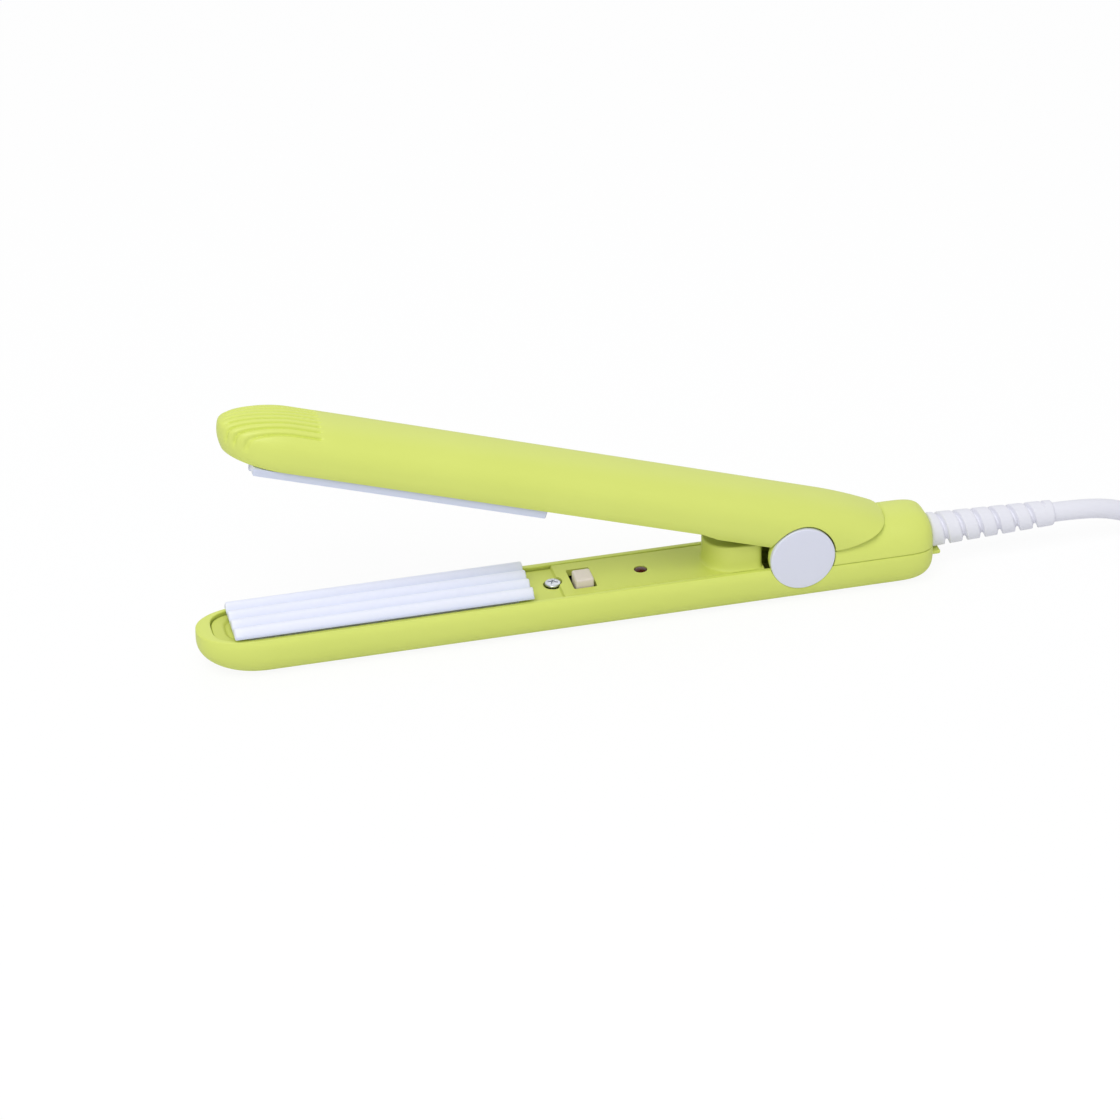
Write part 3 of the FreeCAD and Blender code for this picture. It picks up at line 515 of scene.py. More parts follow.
def moulding_group() -> bpy.types.NodeTree:
    """Moulded surface: a cloudy mix of two tones, with a fine grain in the bump and the gloss.

    Colour = mix(Tone A, Tone B, soft noise), Height = fine noise.

    Returns:
        The group.
    """
    group = GroupTree("moulded_grain", {
        "Cloud Scale": ("Float", 40.0), "Grain Scale": ("Float", 2600.0), "Grain": ("Float", 0.05)})
    given = group.given
    cloud = group.noise(given["Vector"], given["Cloud Scale"], 3.0)
    grain = group.noise(given["Vector"], given["Grain Scale"], 2.0)
    group.finish(group.blend(cloud, given["Tone A"], given["Tone B"]), grain, given["Grain"])
    return group.tree


def streak_group() -> bpy.types.NodeTree:
    """Drawn or coated metal: long faint streaks along one axis.

    The coordinates are multiplied by Stretch before a noise, which mixes the two tones and moves
    the gloss and the bump.

    Returns:
        The group.
    """
    group = GroupTree("drawn_streaks", {
        "Stretch": ("Vector", (30.0, 900.0, 900.0)), "Streak": ("Float", 0.05)})
    given = group.given
    scaled = group.tree.nodes.new("ShaderNodeVectorMath")
    scaled.operation = "MULTIPLY"
    group.set(scaled.inputs[0], given["Vector"])
    group.set(scaled.inputs[1], given["Stretch"])
    noise = group.noise(scaled.outputs[0], 1.0, 4.0)
    group.finish(group.blend(noise, given["Tone A"], given["Tone B"]), noise, given["Streak"])
    return group.tree


def ridge_group() -> bpy.types.NodeTree:
    """Coated ridges along X: two tones in a fine grain and a painted shade that deepens in the valleys.

    The painted shade's share = Depth (0.5 + 0.5 cos(2 pi y / Pitch))^3, where y is the place across.

    Returns:
        The group.
    """
    # its extra colour input is the painted shade that darkens the valleys
    group = GroupTree("coated_ridges", {
        "ValleyShade": ("Color", (1, 1, 1, 1)), "Pitch": ("Float", 0.00412), "Depth": ("Float", 0.6)})
    given = group.given
    split = group.tree.nodes.new("ShaderNodeSeparateXYZ")
    group.set(split.inputs[0], given["Vector"])
    turns = group.math("DIVIDE", split.outputs["Y"], given["Pitch"])
    wave = group.math("COSINE", group.math("MULTIPLY", turns, 2 * math.pi))
    half = group.math("ADD", group.math("MULTIPLY", wave, 0.5), 0.5)
    # how much painted shade each place gets, most in the valleys
    valley_shade = group.math("MULTIPLY", group.math("POWER", half, 3.0), given["Depth"])
    grain = group.noise(given["Vector"], 900.0, 3.0)
    tone = group.blend(grain, given["Tone A"], given["Tone B"])
    group.finish(group.blend(valley_shade, tone, given["ValleyShade"]), grain, 0.03)
    return group.tree


@dataclass(frozen=True)
class Moulded:
    """A moulded plastic or rubber finish."""

    name: str
    tone_a: tuple
    tone_b: tuple
    gloss: float = 0.4
    spread: float = 0.1
    grain: float = 0.05
    grain_scale: float = 2600.0
    cloud_scale: float = 40.0
    specular: float = 0.5
    coat: float = 0.0

    def build(self, tree: bpy.types.NodeTree) -> bpy.types.Material:
        """Makes the material from the moulded grain group.

        Args:
            tree: the moulded grain group.

        Returns:
            The material.
        """
        surface = Surface(self.name)
        surface.dress(tree, Tone_A=self.tone_a, Tone_B=self.tone_b, Grain=self.grain,
                      Cloud_Scale=self.cloud_scale, Grain_Scale=self.grain_scale,
                      Gloss_Floor=self.gloss, Gloss_Spread=self.spread)
        surface.plain(Specular_IOR_Level=self.specular, Coat_Weight=self.coat)
        return surface.material


@dataclass(frozen=True)
class Drawn:
    """A metal or a coated metal with faint streaks along its length."""

    name: str
    tone_a: tuple
    tone_b: tuple
    metallic: float
    gloss: float = 0.25
    spread: float = 0.15
    streak: float = 0.05
    stretch: tuple[float, float, float] = (30.0, 900.0, 900.0)

    def build(self, tree: bpy.types.NodeTree) -> bpy.types.Material:
        """Makes the material from the drawn streaks group.

        Args:
            tree: the drawn streaks group.

        Returns:
            The material.
        """
        surface = Surface(self.name)
        surface.dress(tree, Tone_A=self.tone_a, Tone_B=self.tone_b, Stretch=self.stretch,
                      Streak=self.streak, Gloss_Floor=self.gloss, Gloss_Spread=self.spread)
        surface.plain(Metallic=self.metallic)
        return surface.material


@dataclass(frozen=True)
class Ridged:
    """The coated face of a crimp plate, with painted shade in its valleys."""

    name: str
    tone_a: tuple
    tone_b: tuple
    # the colour of the painted shade in the valleys
    valley_shade: tuple
    pitch: float
    depth: float = 0.75
    gloss: float = 0.3
    spread: float = 0.1

    def build(self, tree: bpy.types.NodeTree) -> bpy.types.Material:
        """Makes the material from the coated ridges group.

        Args:
            tree: the coated ridges group.

        Returns:
            The material.
        """
        surface = Surface(self.name)
        # the painted valley shade colour goes into the group
        surface.dress(tree, Tone_A=self.tone_a, Tone_B=self.tone_b, ValleyShade=self.valley_shade,
                      Pitch=self.pitch * MM, Depth=self.depth, Gloss_Floor=self.gloss,
                      Gloss_Spread=self.spread)
        return surface.material


class Finish(Enum):
    """Every finish on the crimper."""

    CASING = Moulded("lime_casing", linear(220, 230, 116), linear(214, 225, 108), 0.42, 0.08, 0.05)
    PANEL = Moulded("lime_panel", linear(212, 221, 108), linear(206, 216, 100), 0.5, 0.08, 0.08)
    # the plate's third colour is painted shade for its valleys
    PLATE = Ridged("ceramic_coated_plate", linear(238, 240, 252), linear(233, 236, 250),
                   linear(200, 208, 230), 4.12)
    CAP = Moulded("satin_cap", linear(226, 228, 244), linear(221, 223, 240), 0.35, 0.08, 0.03)
    STEEL = Drawn("plated_steel", linear(205, 208, 214), linear(186, 189, 196), 1.0, 0.22, 0.15, 0.08)
    CERAMIC = Moulded("heater_ceramic", linear(236, 233, 224), linear(226, 222, 212), 0.6, 0.1, 0.1)
    INSULATOR = Moulded("black_insulator", linear(46, 46, 48), linear(38, 38, 40), 0.55, 0.1, 0.1)
    KNOB = Moulded("beige_knob", linear(228, 217, 211), linear(220, 208, 201), 0.42, 0.08, 0.05)
    BOARD = Moulded("coated_board", linear(52, 112, 60), linear(44, 98, 52), 0.4, 0.1, 0.05)
    COMPONENT = Moulded("dipped_component", linear(186, 86, 48), linear(170, 76, 42), 0.4, 0.1, 0.05)
    LENS = Moulded("red_lens", linear(78, 8, 10), linear(60, 5, 8), 0.22, 0.06, 0.02, specular=0.35)
    WIRE = Moulded("wire_sleeve", linear(226, 225, 216), linear(214, 213, 204), 0.5, 0.1, 0.05)
    CORD = Moulded("white_cord", linear(238, 238, 246), linear(230, 230, 240), 0.45, 0.1, 0.06)
    PINS = Drawn("nickelled_pins", linear(206, 198, 176), linear(190, 182, 160), 1.0, 0.2, 0.1, 0.05)


class Workshop:
    """Makes each finish once and dresses pieces with it."""

    def __init__(self) -> None:
        """Builds the shared groups and every finish."""
        trees = {Moulded: moulding_group(), Drawn: streak_group(), Ridged: ridge_group()}
        self.made = {finish: finish.value.build(trees[type(finish.value)]) for finish in Finish}

    def dress(self, piece: bpy.types.Object, finish: Finish) -> None:
        """Gives a new piece its finish."""
        piece.data.materials.clear()
        piece.data.materials.append(self.made[finish])

    def dress_node(self, node: str, finish: Finish) -> None:
        """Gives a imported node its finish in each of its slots.

        Args:
            node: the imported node's name.
            finish: its finish.
        """
        piece = FRAME["nodes"][node]
        for slot in piece.material_slots:
            slot.material = self.made[finish]
        if not piece.material_slots:
            piece.data.materials.append(self.made[finish])


# ---- the arms' form ---------------------------------------------------------------------------
@dataclass(frozen=True)
class Bar:
    """A round-nosed bar with oval sections, the form of either arm.

    A section is an oval about the belt: at angle a from the belt, the half width is
    half * cos(a)^(2/n) and the height is reach * sin(a)^(2/n). crown is the signed height from the
    belt to the crown, and rim that towards the rim.
    """

    half: float
    belt: float
    crown: float
    rim: float
    roundness: float = 2.4

    def angle(self, level: np.ndarray) -> np.ndarray:
        """Section angle of a height, negative on the rim's side of the belt.

        Args:
            level: heights.

        Returns:
            The angle at each height, in radians.
        """
        away = (level - self.belt) * math.copysign(1, self.crown)
        reach = np.where(away > 0, abs(self.crown), abs(self.rim))
        share = np.clip(np.abs(away) / reach, 0, 1)
        return np.sign(away) * np.arcsin(share ** (self.roundness / 2))

    def section(self, angle: np.ndarray, crown: np.ndarray) -> tuple[np.ndarray, np.ndarray]:
        """Half width and height at a section angle, for a crown that may vary along the bar.

        Args:
            angle: section angles.
            crown: the signed height of the crown at each of them.

        Returns:
            The half widths and the heights.
        """
        power = 2 / self.roundness
        rise = np.where(angle > 0, crown, np.sign(self.crown) * abs(self.rim))
        width = self.half * np.clip(np.cos(angle), 0, 1) ** power
        height = self.belt + np.sign(angle) * rise * np.abs(np.sin(angle)) ** power
        return width, height


@dataclass(frozen=True)
class Nose:
    """How a bar's levels draw in at one end.

    At share s of the crown's height a level ends reach * (1 - s^m)^(1/m) beyond the nose's start,
    and its plan is a superellipse of exponent p. On the rim's side it ends undercut * s^2 short.
    """

    start: float
    reach: float
    plan: float
    profile: float
    undercut: float = 0.0
    way: float = -1.0
    peak: float = 0.0

    def length(self, share: np.ndarray) -> np.ndarray:
        """Length of the nose at a signed share of the height; the tip is at the share called peak.

        Args:
            share: signed shares of the height, 1 at the crown and -1 at the rim's side.

        Returns:
            The length beyond the start at each share.
        """
        crown = np.clip((share - self.peak) / (1 - self.peak), 0, 1)
        under = np.clip((self.peak - share) / (1 + self.peak), 0, 1)
        return self.reach * (1 - crown ** self.profile) ** (1 / self.profile) - self.undercut * under ** 2

    def outline(self, turn: np.ndarray, length: np.ndarray, width: np.ndarray) -> tuple:
        """Plan of a level: x = start + way * length * cos(t)^(2/p), y = width * sin(t)^(2/p).

        Args:
            turn: angles t round the nose.
            length: the level's length beyond the start.
            width: the level's half width.

        Returns:
            The x and the y of each point.
        """
        power = 2 / self.plan
        x = self.start + self.way * length * np.cos(turn) ** power
        return x, width * np.sin(turn) ** power


def nose_turns(steps: int) -> np.ndarray:
    """Angles round a nose from its side, 90 degrees, to its tip, 0."""
    return np.linspace(np.pi / 2, 0, steps)


@dataclass(frozen=True)
class Skin:
    """One skin of a casing: a bar with its ends, drawn as rows from the crown to the rim.

    stations are the places along the straight part, from the rear to the front. rim and crown
    give the signed levels of the edge and of the crown at each station.
    """

    bar: Bar
    front: Nose | None
    rear: Nose | None
    stations: np.ndarray
    rim: Callable[[np.ndarray], np.ndarray]
    crown: Callable[[np.ndarray], np.ndarray]
    rows: np.ndarray
    nose_steps: int = 48

    def angles(self, x: np.ndarray) -> np.ndarray:
        """Section angles (rows, columns): rows share the way from the crown to the rim.

        Args:
            x: stations along the bar.

        Returns:
            The angles, one column for each station.
        """
        reach = self.crown(x)
        level = self.rim(x)
        away = (level - self.bar.belt) * math.copysign(1, self.bar.crown)
        span = np.where(away > 0, np.abs(reach), abs(self.bar.rim))
        share = np.clip(np.abs(away) / np.maximum(span, 1e-6), 0, 1)
        edge = np.sign(away) * np.arcsin(share ** (self.bar.roundness / 2))
        return np.pi / 2 + (edge - np.pi / 2) * self.rows[:, None]

    def straight(self) -> np.ndarray:
        """The straight part's points, near side.

        Returns:
            The points, (rows, stations, 3).
        """
        x = self.stations
        angle = self.angles(x)
        width, height = self.bar.section(angle, self.crown(x)[None, :] + 0 * angle)
        return np.stack([x[None, :] + 0 * angle, -width, height], axis=-1)

    def end(self, nose: Nose) -> np.ndarray:
        """A nose's points from the bar's side to the middle, near side.

        Args:
            nose: the nose at that end.

        Returns:
            The points, (rows, steps, 3).
        """
        x = np.array([nose.start])
        angle = self.angles(x)
        width, height = self.bar.section(angle, self.crown(x)[None, :] + 0 * angle)
        share = (height - self.bar.belt) * math.copysign(1, self.bar.crown)
        share = share / np.where(share > 0, abs(self.bar.crown), abs(self.bar.rim))
        turn = nose_turns(self.nose_steps)[None, :]
        along, across = nose.outline(turn, nose.length(share), width)
        return np.stack([along, -across, height + 0 * along], axis=-1)

    def near(self) -> np.ndarray:
        """The near half: rear nose, straight part, front nose.

        Returns:
            The points, (rows, columns, 3).
        """
        parts = [self.straight()]
        if self.rear:
            parts.insert(0, self.end(self.rear)[:, ::-1][:, :-1])
        if self.front:
            parts.append(self.end(self.front)[:, 1:])
        return np.concatenate(parts, axis=1)


MIRROR = np.array([1.0, -1.0, 1.0])


def both_sides(near: np.ndarray) -> np.ndarray:
    """A near half and its mirror image, as one run of columns round the tip."""
    return np.concatenate([near, near[:, ::-1][:, 1:] * MIRROR], axis=1)


def rim_between(outer: np.ndarray, inner: np.ndarray, toward: float, radius: float) -> np.ndarray:
    """Rows over a rim between the skins' edges, with round corners.

    Row k = outer + (inner - outer) f + toward * radius * lift, where f and lift follow a quarter
    circle at either edge.

    Args:
        outer: the outer skin's edge.
        inner: the inner skin's edge.
        toward: the way that the rim faces, 1 up or -1 down.
        radius: the radius of both corners.

    Returns:
        The rows, from the outer edge to the inner.
    """
    t = np.radians([0, 22.5, 45, 67.5, 90])
    wall = np.linalg.norm(inner - outer, axis=-1).min()
    corner = radius / max(wall, 2.2 * radius)
    f = np.concatenate([corner * (1 - np.cos(t)), 1 - corner * (1 - np.cos(t[::-1]))])
    lift = toward * radius * np.concatenate([np.sin(t), np.sin(t[::-1])])
    rows = outer + (inner - outer) * f[:, None, None]
    rows[..., 2] += lift[:, None]
    return rows


def spread(*knots: float, step: float = 2.0) -> np.ndarray:
    """Stations through the knots, about a step apart.

    Args:
        knots: the places that the stations must meet, in order.
        step: the longest way from one to the next.

    Returns:
        The stations, each knot once.
    """
    runs = [np.linspace(a, b, max(2, int(abs(b - a) / step) + 1))[:-1]
            for a, b in zip(knots[:-1], knots[1:])]
    return np.concatenate([*runs, [knots[-1]]])


def around(radius: float, start: float, end: float, steps: int) -> np.ndarray:
    """Stations along X on a circle about the hinge, radius * cos(t), without its end points."""
    first, last = math.acos(start / radius), math.acos(end / radius)
    return radius * np.cos(np.linspace(first, last, steps + 2)[1:-1])


@dataclass
class ArmSizes:
    """Sizes that both arms share, in millimetres."""

    wall: float = 1.6
    rim_wall: float = 1.25
    rim_inset: float = 0.8
    rim_round: float = 0.25
    hub_cut: float = 8.25
    cap_hole: float = 8.06
    roundness: float = 2.4
    half: float = field(init=False)

    def __post_init__(self) -> None:
        """Takes the arms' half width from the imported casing."""
        self.half = float(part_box("upper_casing")[1][1]) / MM

    def bar(self, belt: float, crown: float, rim: float, inset: float, rim_inset: float) -> Bar:
        """An arm's bar, moved in by a wall, that is rim_inset narrower at the level rim.

        Args:
            belt: the level where the arm is widest.
            crown: signed height from the belt to the crown.
            rim: the level of the rim.
            inset: how far the wall is moved in.
            rim_inset: how much narrower it is at the rim, past the arms' own draft.

        Returns:
            The bar.
        """
        half = self.half - inset
        narrow = self.half - self.rim_inset - rim_inset
        rise = abs(rim - belt) / (1 - (narrow / half) ** self.roundness) ** (1 / self.roundness)
        return Bar(half, belt, crown - math.copysign(inset, crown), rise, self.roundness)


SIZES = ArmSizes()
LAMP_PLACE = -37.4
PANEL_SCREW_PLACE = -58.9
PANEL_LEVEL = -2.4
REAR_SCREW_PLACE = 21.0
REAR_SCREW_SIDE = 4.6
CORD_LEVEL = -2.5


# ---- the lower arm ----------------------------------------------------------------------------
@dataclass
class LowerCasing:
    """The lower shell: a boat-like tray with a notch at the hub, hinge ears and a tongue."""

    workshop: Workshop
    belt: float = -5.3
    depth: float = 7.9
    rim: float = -2.3
    seam: float = -3.3
    nose: Nose = Nose(-127.9, 16.5, 2.35, 2.0, 0.35)
    tail: Nose = Nose(23.0, 11.0, 4.0, 2.6, 0.0, 1.0)
    floor: float = -12.9
    ear_radius: float = 7.9
    ear_inner: float = 6.6
    ear_outer: float = 8.6
    ear_edge: float = 0.3
    ear_lap: float = 1.0
    tongue_half: float = 3.2
    tongue_run: float = 8.0
    tongue_short: float = 2.3
    tongue_thick: float = 1.1
    tongue_drop: float = 4.25
    well: float = 2.1
    well_low: float = -14.0
    well_top: float = -10.6
    nose_wall: float = 3.7
    pocket_plan: float = 3.3

    def rim_level(self, x: np.ndarray, notch: float) -> np.ndarray:
        """The rim, stepping to the seam behind the hub, and a round notch for the cap.

        Args:
            x: stations.
            notch: the radius of the notch.

        Returns:
            The level of the edge at each station.
        """
        level = np.where(x > 0, self.seam, self.rim)
        arch = -np.sqrt(np.clip(notch ** 2 - x ** 2, 0, None))
        return np.where(np.abs(x) < notch, np.minimum(level, arch), level)

    def skin(self, inset: float, notch: float, lip: float) -> Skin:
        """The outer or the inner skin; lip is how far its edge stops short of the rim.

        Args:
            inset: the wall, or 0 for the outer skin.
            notch: the radius of the notch at the hub.
            lip: how far its edge stops short of the rim.

        Returns:
            The skin.
        """
        outer = inset == 0
        bar = SIZES.bar(self.belt, -self.depth, self.rim, inset, 0 if outer else SIZES.rim_wall)
        nose, tail = self.nose, self.tail
        if not outer:
            nose = replace(nose, reach=nose.reach - self.nose_wall, plan=self.pocket_plan, undercut=0.0)
            tail = replace(tail, reach=tail.reach - inset)
        hole = SIZES.cap_hole
        back, ahead = math.sqrt(hole ** 2 - self.seam ** 2), math.sqrt(hole ** 2 - self.rim ** 2)
        stations = np.concatenate([spread(tail.start, back, step=1.5), around(hole, back, -ahead, 44),
                                   spread(-ahead, -20.0, nose.start, step=2.5)])
        rows = np.linspace(0, 1, 40)
        return Skin(bar, nose, tail, stations, lambda x: self.rim_level(x, notch) - lip,
                    lambda x: np.full(x.shape, bar.crown), rows)

    def build(self) -> bpy.types.Object:
        """Makes the casing with its ears and tongue.

        Returns:
            The object, riding on its body.
        """
        lip = SIZES.rim_round
        outer = both_sides(self.skin(0.0, SIZES.cap_hole, lip).near())
        outer[..., 2] = np.maximum(outer[..., 2], self.floor)
        inner = both_sides(self.skin(SIZES.wall, self.ear_radius - self.ear_lap, lip).near())
        rim = rim_between(outer[-1], inner[-1], 1.0, lip)
        shell = Sheet(np.concatenate([outer, rim[1:-1], inner[::-1]]), wrap_columns=True)
        piece = make_piece("lower_shell", [shell], Arm.LOWER)
        wells = [drill(self.well, self.well_low, self.well_top, (REAR_SCREW_PLACE, way * REAR_SCREW_SIDE))
                 for way in (-1, 1)]
        cut_and_join(piece, wells, [*self.ears(), self.tongue()], Arm.LOWER)
        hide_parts("lower_casing")
        self.workshop.dress(piece, Finish.CASING)
        return piece

    def ears(self) -> list[Sheet]:
        """The two hinge ears: discs across the arm with round rims.

        Returns:
            The discs as closed grids.
        """
        r, edge = self.ear_radius, self.ear_edge
        thick = self.ear_outer - self.ear_inner
        profile = np.concatenate([[[0, 0]], arc((r - edge, edge), edge, -90, 0),
                                  arc((r - edge, thick - edge), edge, 0, 90), [[0, thick]]])
        return [lathe(profile, "y", (0, self.ear_inner, 0)), lathe(profile, "-y", (0, -self.ear_inner, 0))]

    def tongue(self) -> Sheet:
        """The small tongue under the cord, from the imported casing's rear end.

        Returns:
            The tongue as a closed grid.
        """
        end = closed_box("lower_casing")[1][0]
        top = CORD_LEVEL - self.tongue_drop
        low = (end - self.tongue_run, -self.tongue_half, top - self.tongue_thick)
        return rounded_box(low, (end - self.tongue_short, self.tongue_half, top), 0.5)


# ---- the upper arm ----------------------------------------------------------------------------
@dataclass
class UpperCasing:
    """The upper shell with its grip grooves; its tail closes over the hinge."""

    workshop: Workshop
    belt: float = 5.6
    height: float = 7.4
    rim: float = 1.95
    skirt: float = 0.95
    skirt_start: float = -26.2
    skirt_run: float = 4.5
    nose: Nose = Nose(-128.1, 17.0, 2.0, 1.62, 6.0, -1.0, 0.36)
    nose_wall: float = 4.6
    pocket_plan: float = 3.2
    crescent_radius: float = 38.325
    crescent_centre: tuple[float, float] = (3.8, 38.6)
    tail_end: float = 19.75
    finer: float = -110.0
    finest: float = -120.5
    fall: float = 0.00396
    fall_start: float = 2.4
    fall_power: float = 2.07
    hub_top: float = 7.69
    groove_pitch: float = 1.6
    groove_count: int = 10
    groove_depth: float = 0.62
    groove_width: float = 0.28
    groove_fade: float = 0.8
    tip_gap: float = 0.6
    tip_fade: float = 1.6
    collapse_start: float = 8.0
    groove_start: float = -122.0

    def crown(self, x: np.ndarray) -> np.ndarray:
        """Height above the belt: level, then falling as k (x - x0)^n over the tail."""
        return self.height - self.fall * np.clip(x - self.fall_start, 0, None) ** self.fall_power

    def rim_level(self, x: np.ndarray) -> np.ndarray:
        """The rim, the skirt beside the boss, the hub's arc and the crescent of the tail.

        Args:
            x: stations.

        Returns:
            The level of the edge at each station.
        """
        c, s = math.cos(HINGE.angle), math.sin(HINGE.angle)
        centre_x = self.crescent_centre[0] * c - self.crescent_centre[1] * s
        centre_z = self.crescent_centre[0] * s + self.crescent_centre[1] * c
        step = np.clip((x - self.skirt_start) / self.skirt_run, 0, 1)
        level = self.rim + (self.skirt - self.rim) * step
        arch = np.sqrt(np.clip(SIZES.hub_cut ** 2 - x ** 2, 0, None))
        level = np.maximum(level, arch)
        crescent = centre_z - np.sqrt(np.clip(self.crescent_radius ** 2 - (x - centre_x) ** 2, 0, None))
        return np.where(x > 0, np.maximum(crescent, arch), level)

    def skin(self, inset: float, lip: float) -> Skin:
        """The outer or the inner skin, with rows close together where the grooves run.

        Args:
            inset: the wall, or 0 for the outer skin.
            lip: how far its edge stops short of the rim.

        Returns:
            The skin.
        """
        outer = inset == 0
        bar = SIZES.bar(self.belt, self.height, self.rim, inset, 0 if outer else SIZES.rim_wall)
        nose = self.nose
        if not outer:
            nose = replace(nose, reach=nose.reach - self.nose_wall, plan=self.pocket_plan)
        hub, crossing = SIZES.hub_cut, self.hub_top
        front = -math.sqrt(hub ** 2 - self.skirt ** 2)
        skirt_end = self.skirt_start + self.skirt_run
        stations = np.concatenate([spread(self.tail_end, crossing, step=0.5),
                                   around(hub, crossing, front, 50),
                                   spread(front, skirt_end, self.skirt_start, self.finer, step=2.0),
                                   spread(self.finer, self.finest, step=1.0)[1:],
                                   spread(self.finest, nose.start, step=0.35)[1:]])
        rows = np.concatenate([np.linspace(0, 0.55, 72)[:-1], np.linspace(0.55, 1, 18)])
        return Skin(bar, nose, None, stations, lambda x: self.rim_level(x) + lip,
                    lambda x: self.crown(x) - inset, rows, 90)

    def groove(self, points: np.ndarray) -> np.ndarray:
        """Depth of the grip: lines of constant y, d = depth * exp(-(dy / w)^2), faded at the ends.

        Args:
            points: the outer skin's points.

        Returns:
            The depth at each point.
        """
        x, y = points[..., 0], points[..., 1]
        nearest = (np.floor(y / self.groove_pitch) + 0.5) * self.groove_pitch
        inside = np.abs(nearest) < self.groove_pitch * self.groove_count / 2
        shape = np.exp(-((y - nearest) / self.groove_width) ** 2) * inside
        begin = np.clip((self.groove_start - x) / self.groove_fade, 0, 1)
        tip = self.nose.start - self.nose.reach
        low = np.clip((points[..., 2] - self.belt) / self.groove_fade + 0.5, 0, 1)
        finish = low * np.clip((x - tip - self.tip_gap) / self.tip_fade, 0, 1)
        return self.groove_depth * shape * smooth(begin) * finish

    def build(self) -> bpy.types.Object:
        """Makes the casing.

        Returns:
            The object, riding on its body.
        """
        lip = SIZES.rim_round
        outer = both_sides(self.skin(0.0, lip).near())
        down = np.gradient(outer, axis=0)
        along = np.gradient(outer, axis=1)
        normal = np.cross(down, along)
        normal /= np.maximum(np.linalg.norm(normal, axis=-1, keepdims=True), 1e-9)
        middle = np.array([0.0, 0.0, self.belt])
        away = ((outer - middle) * np.array([0, 1, 1]) * normal).sum(axis=-1, keepdims=True)
        normal *= np.where(away < 0, -1.0, 1.0)
        ridged = outer - normal * self.groove(outer)[..., None]
        inner = both_sides(self.skin(SIZES.wall, lip).near())
        collapsed = (inner[..., 1] == 0) & (inner[..., 0] > self.collapse_start)
        edge = outer[-1, :, 2]
        inner[..., 2] = np.where(collapsed & (edge > inner[..., 2]), edge, inner[..., 2])
        rim = rim_between(outer[-1], inner[-1], -1.0, lip)
        sheet = Sheet(np.concatenate([ridged, rim[1:-1], inner[::-1]]), cap_columns=True)
        piece = make_piece("upper_shell", [sheet], Arm.UPPER)
        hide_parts("upper_casing")
        self.workshop.dress(piece, Finish.CASING)
        return piece


# ---- the rear cover ---------------------------------------------------------------------------
@dataclass
class RearCover:
    """The hump behind the hinge, with the curved deck that the upper arm's tail opens onto."""

    workshop: Workshop
    belt: float = -5.3
    height: float = 10.3
    seam: float = -3.3
    seam_gap: float = 0.12
    tail: Nose = Nose(23.0, 11.0, 4.0, 4.6, 0.0, 1.0)
    crescent_radius: float = 38.675
    crescent_centre: tuple[float, float] = (3.8, 38.6)
    deck: float = 1.4
    skin_rows: int = 30
    deck_rows: int = 12
    nose_steps: int = 48

    def skin(self, inset: float, drop: float, seam: float) -> np.ndarray:
        """One skin, near side: deck rows from the middle, then oval rows down to the seam.

        The deck is z = centre - sqrt(R^2 - (x - x0)^2) - drop where that lies under the crown. The
        front edge follows the hub, x = sqrt(cut^2 - z^2), and the rear end draws in as a nose.

        Args:
            inset: the wall, or 0 for the outer skin.
            drop: how far the deck lies under the crescent.
            seam: the level of the lowest row.

        Returns:
            The points, (rows, columns, 3).
        """
        power = 2 / SIZES.roundness
        half, height = SIZES.half - inset, self.height - inset
        first = math.sqrt(SIZES.hub_cut ** 2 - self.seam ** 2)
        x = spread(first, self.tail.start, step=0.5)
        centre_x, centre_z = self.crescent_centre
        crescent = centre_z - np.sqrt(self.crescent_radius ** 2 - (x - centre_x) ** 2)
        top = np.minimum(crescent - drop, self.belt + height - 1e-6)
        upper = np.arcsin(((top - self.belt) / height) ** (1 / power))
        upper[-1] = np.pi / 2
        lower = math.asin(((seam - self.belt) / height) ** (1 / power))
        share = np.linspace(1, 0, self.skin_rows)[:, None]
        angle = lower + (upper - lower) * share
        width = half * np.clip(np.cos(angle), 0, 1) ** power
        level = self.belt + height * np.sin(angle) ** power
        across = np.linspace(0, 1, self.deck_rows)[:-1, None]
        width = np.concatenate([width[:1] * across, width])
        level = np.concatenate([level[:1] + 0 * across, level])
        front = np.sqrt(SIZES.hub_cut ** 2 - np.clip(level, -SIZES.hub_cut, 5) ** 2)
        along = front + (x - first) * (self.tail.start - front) / (self.tail.start - first)
        straight = np.stack([along, -width, level], axis=-1)
        tail = replace(self.tail, reach=self.tail.reach - inset)
        rise = np.clip((level[:, -1:] - self.belt) / height, 0, 1)
        turn = nose_turns(self.nose_steps)[None, 1:]
        ahead, side = tail.outline(turn, tail.length(rise), width[:, -1:])
        end = np.stack([ahead, -side, level[:, -1:] + 0 * ahead], axis=-1)
        return np.concatenate([straight, end], axis=1)

    def build(self) -> bpy.types.Object:
        """Makes the cover.

        Returns:
            The object, riding on its body.
        """
        lip = SIZES.rim_round
        edge = self.seam + self.seam_gap + lip
        outer = both_sides(self.skin(0.0, 0.0, edge))
        inner = both_sides(self.skin(SIZES.wall, self.deck, edge))
        rim = rim_between(outer[-1], inner[-1], -1.0, lip)
        sheet = Sheet(np.concatenate([outer, rim[1:-1], inner[::-1]]), cap_columns=True)
        piece = make_piece("rear_hump", [sheet], Arm.LOWER, 50.0)
        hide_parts("rear_cover")
        self.workshop.dress(piece, Finish.CASING)
        return piece


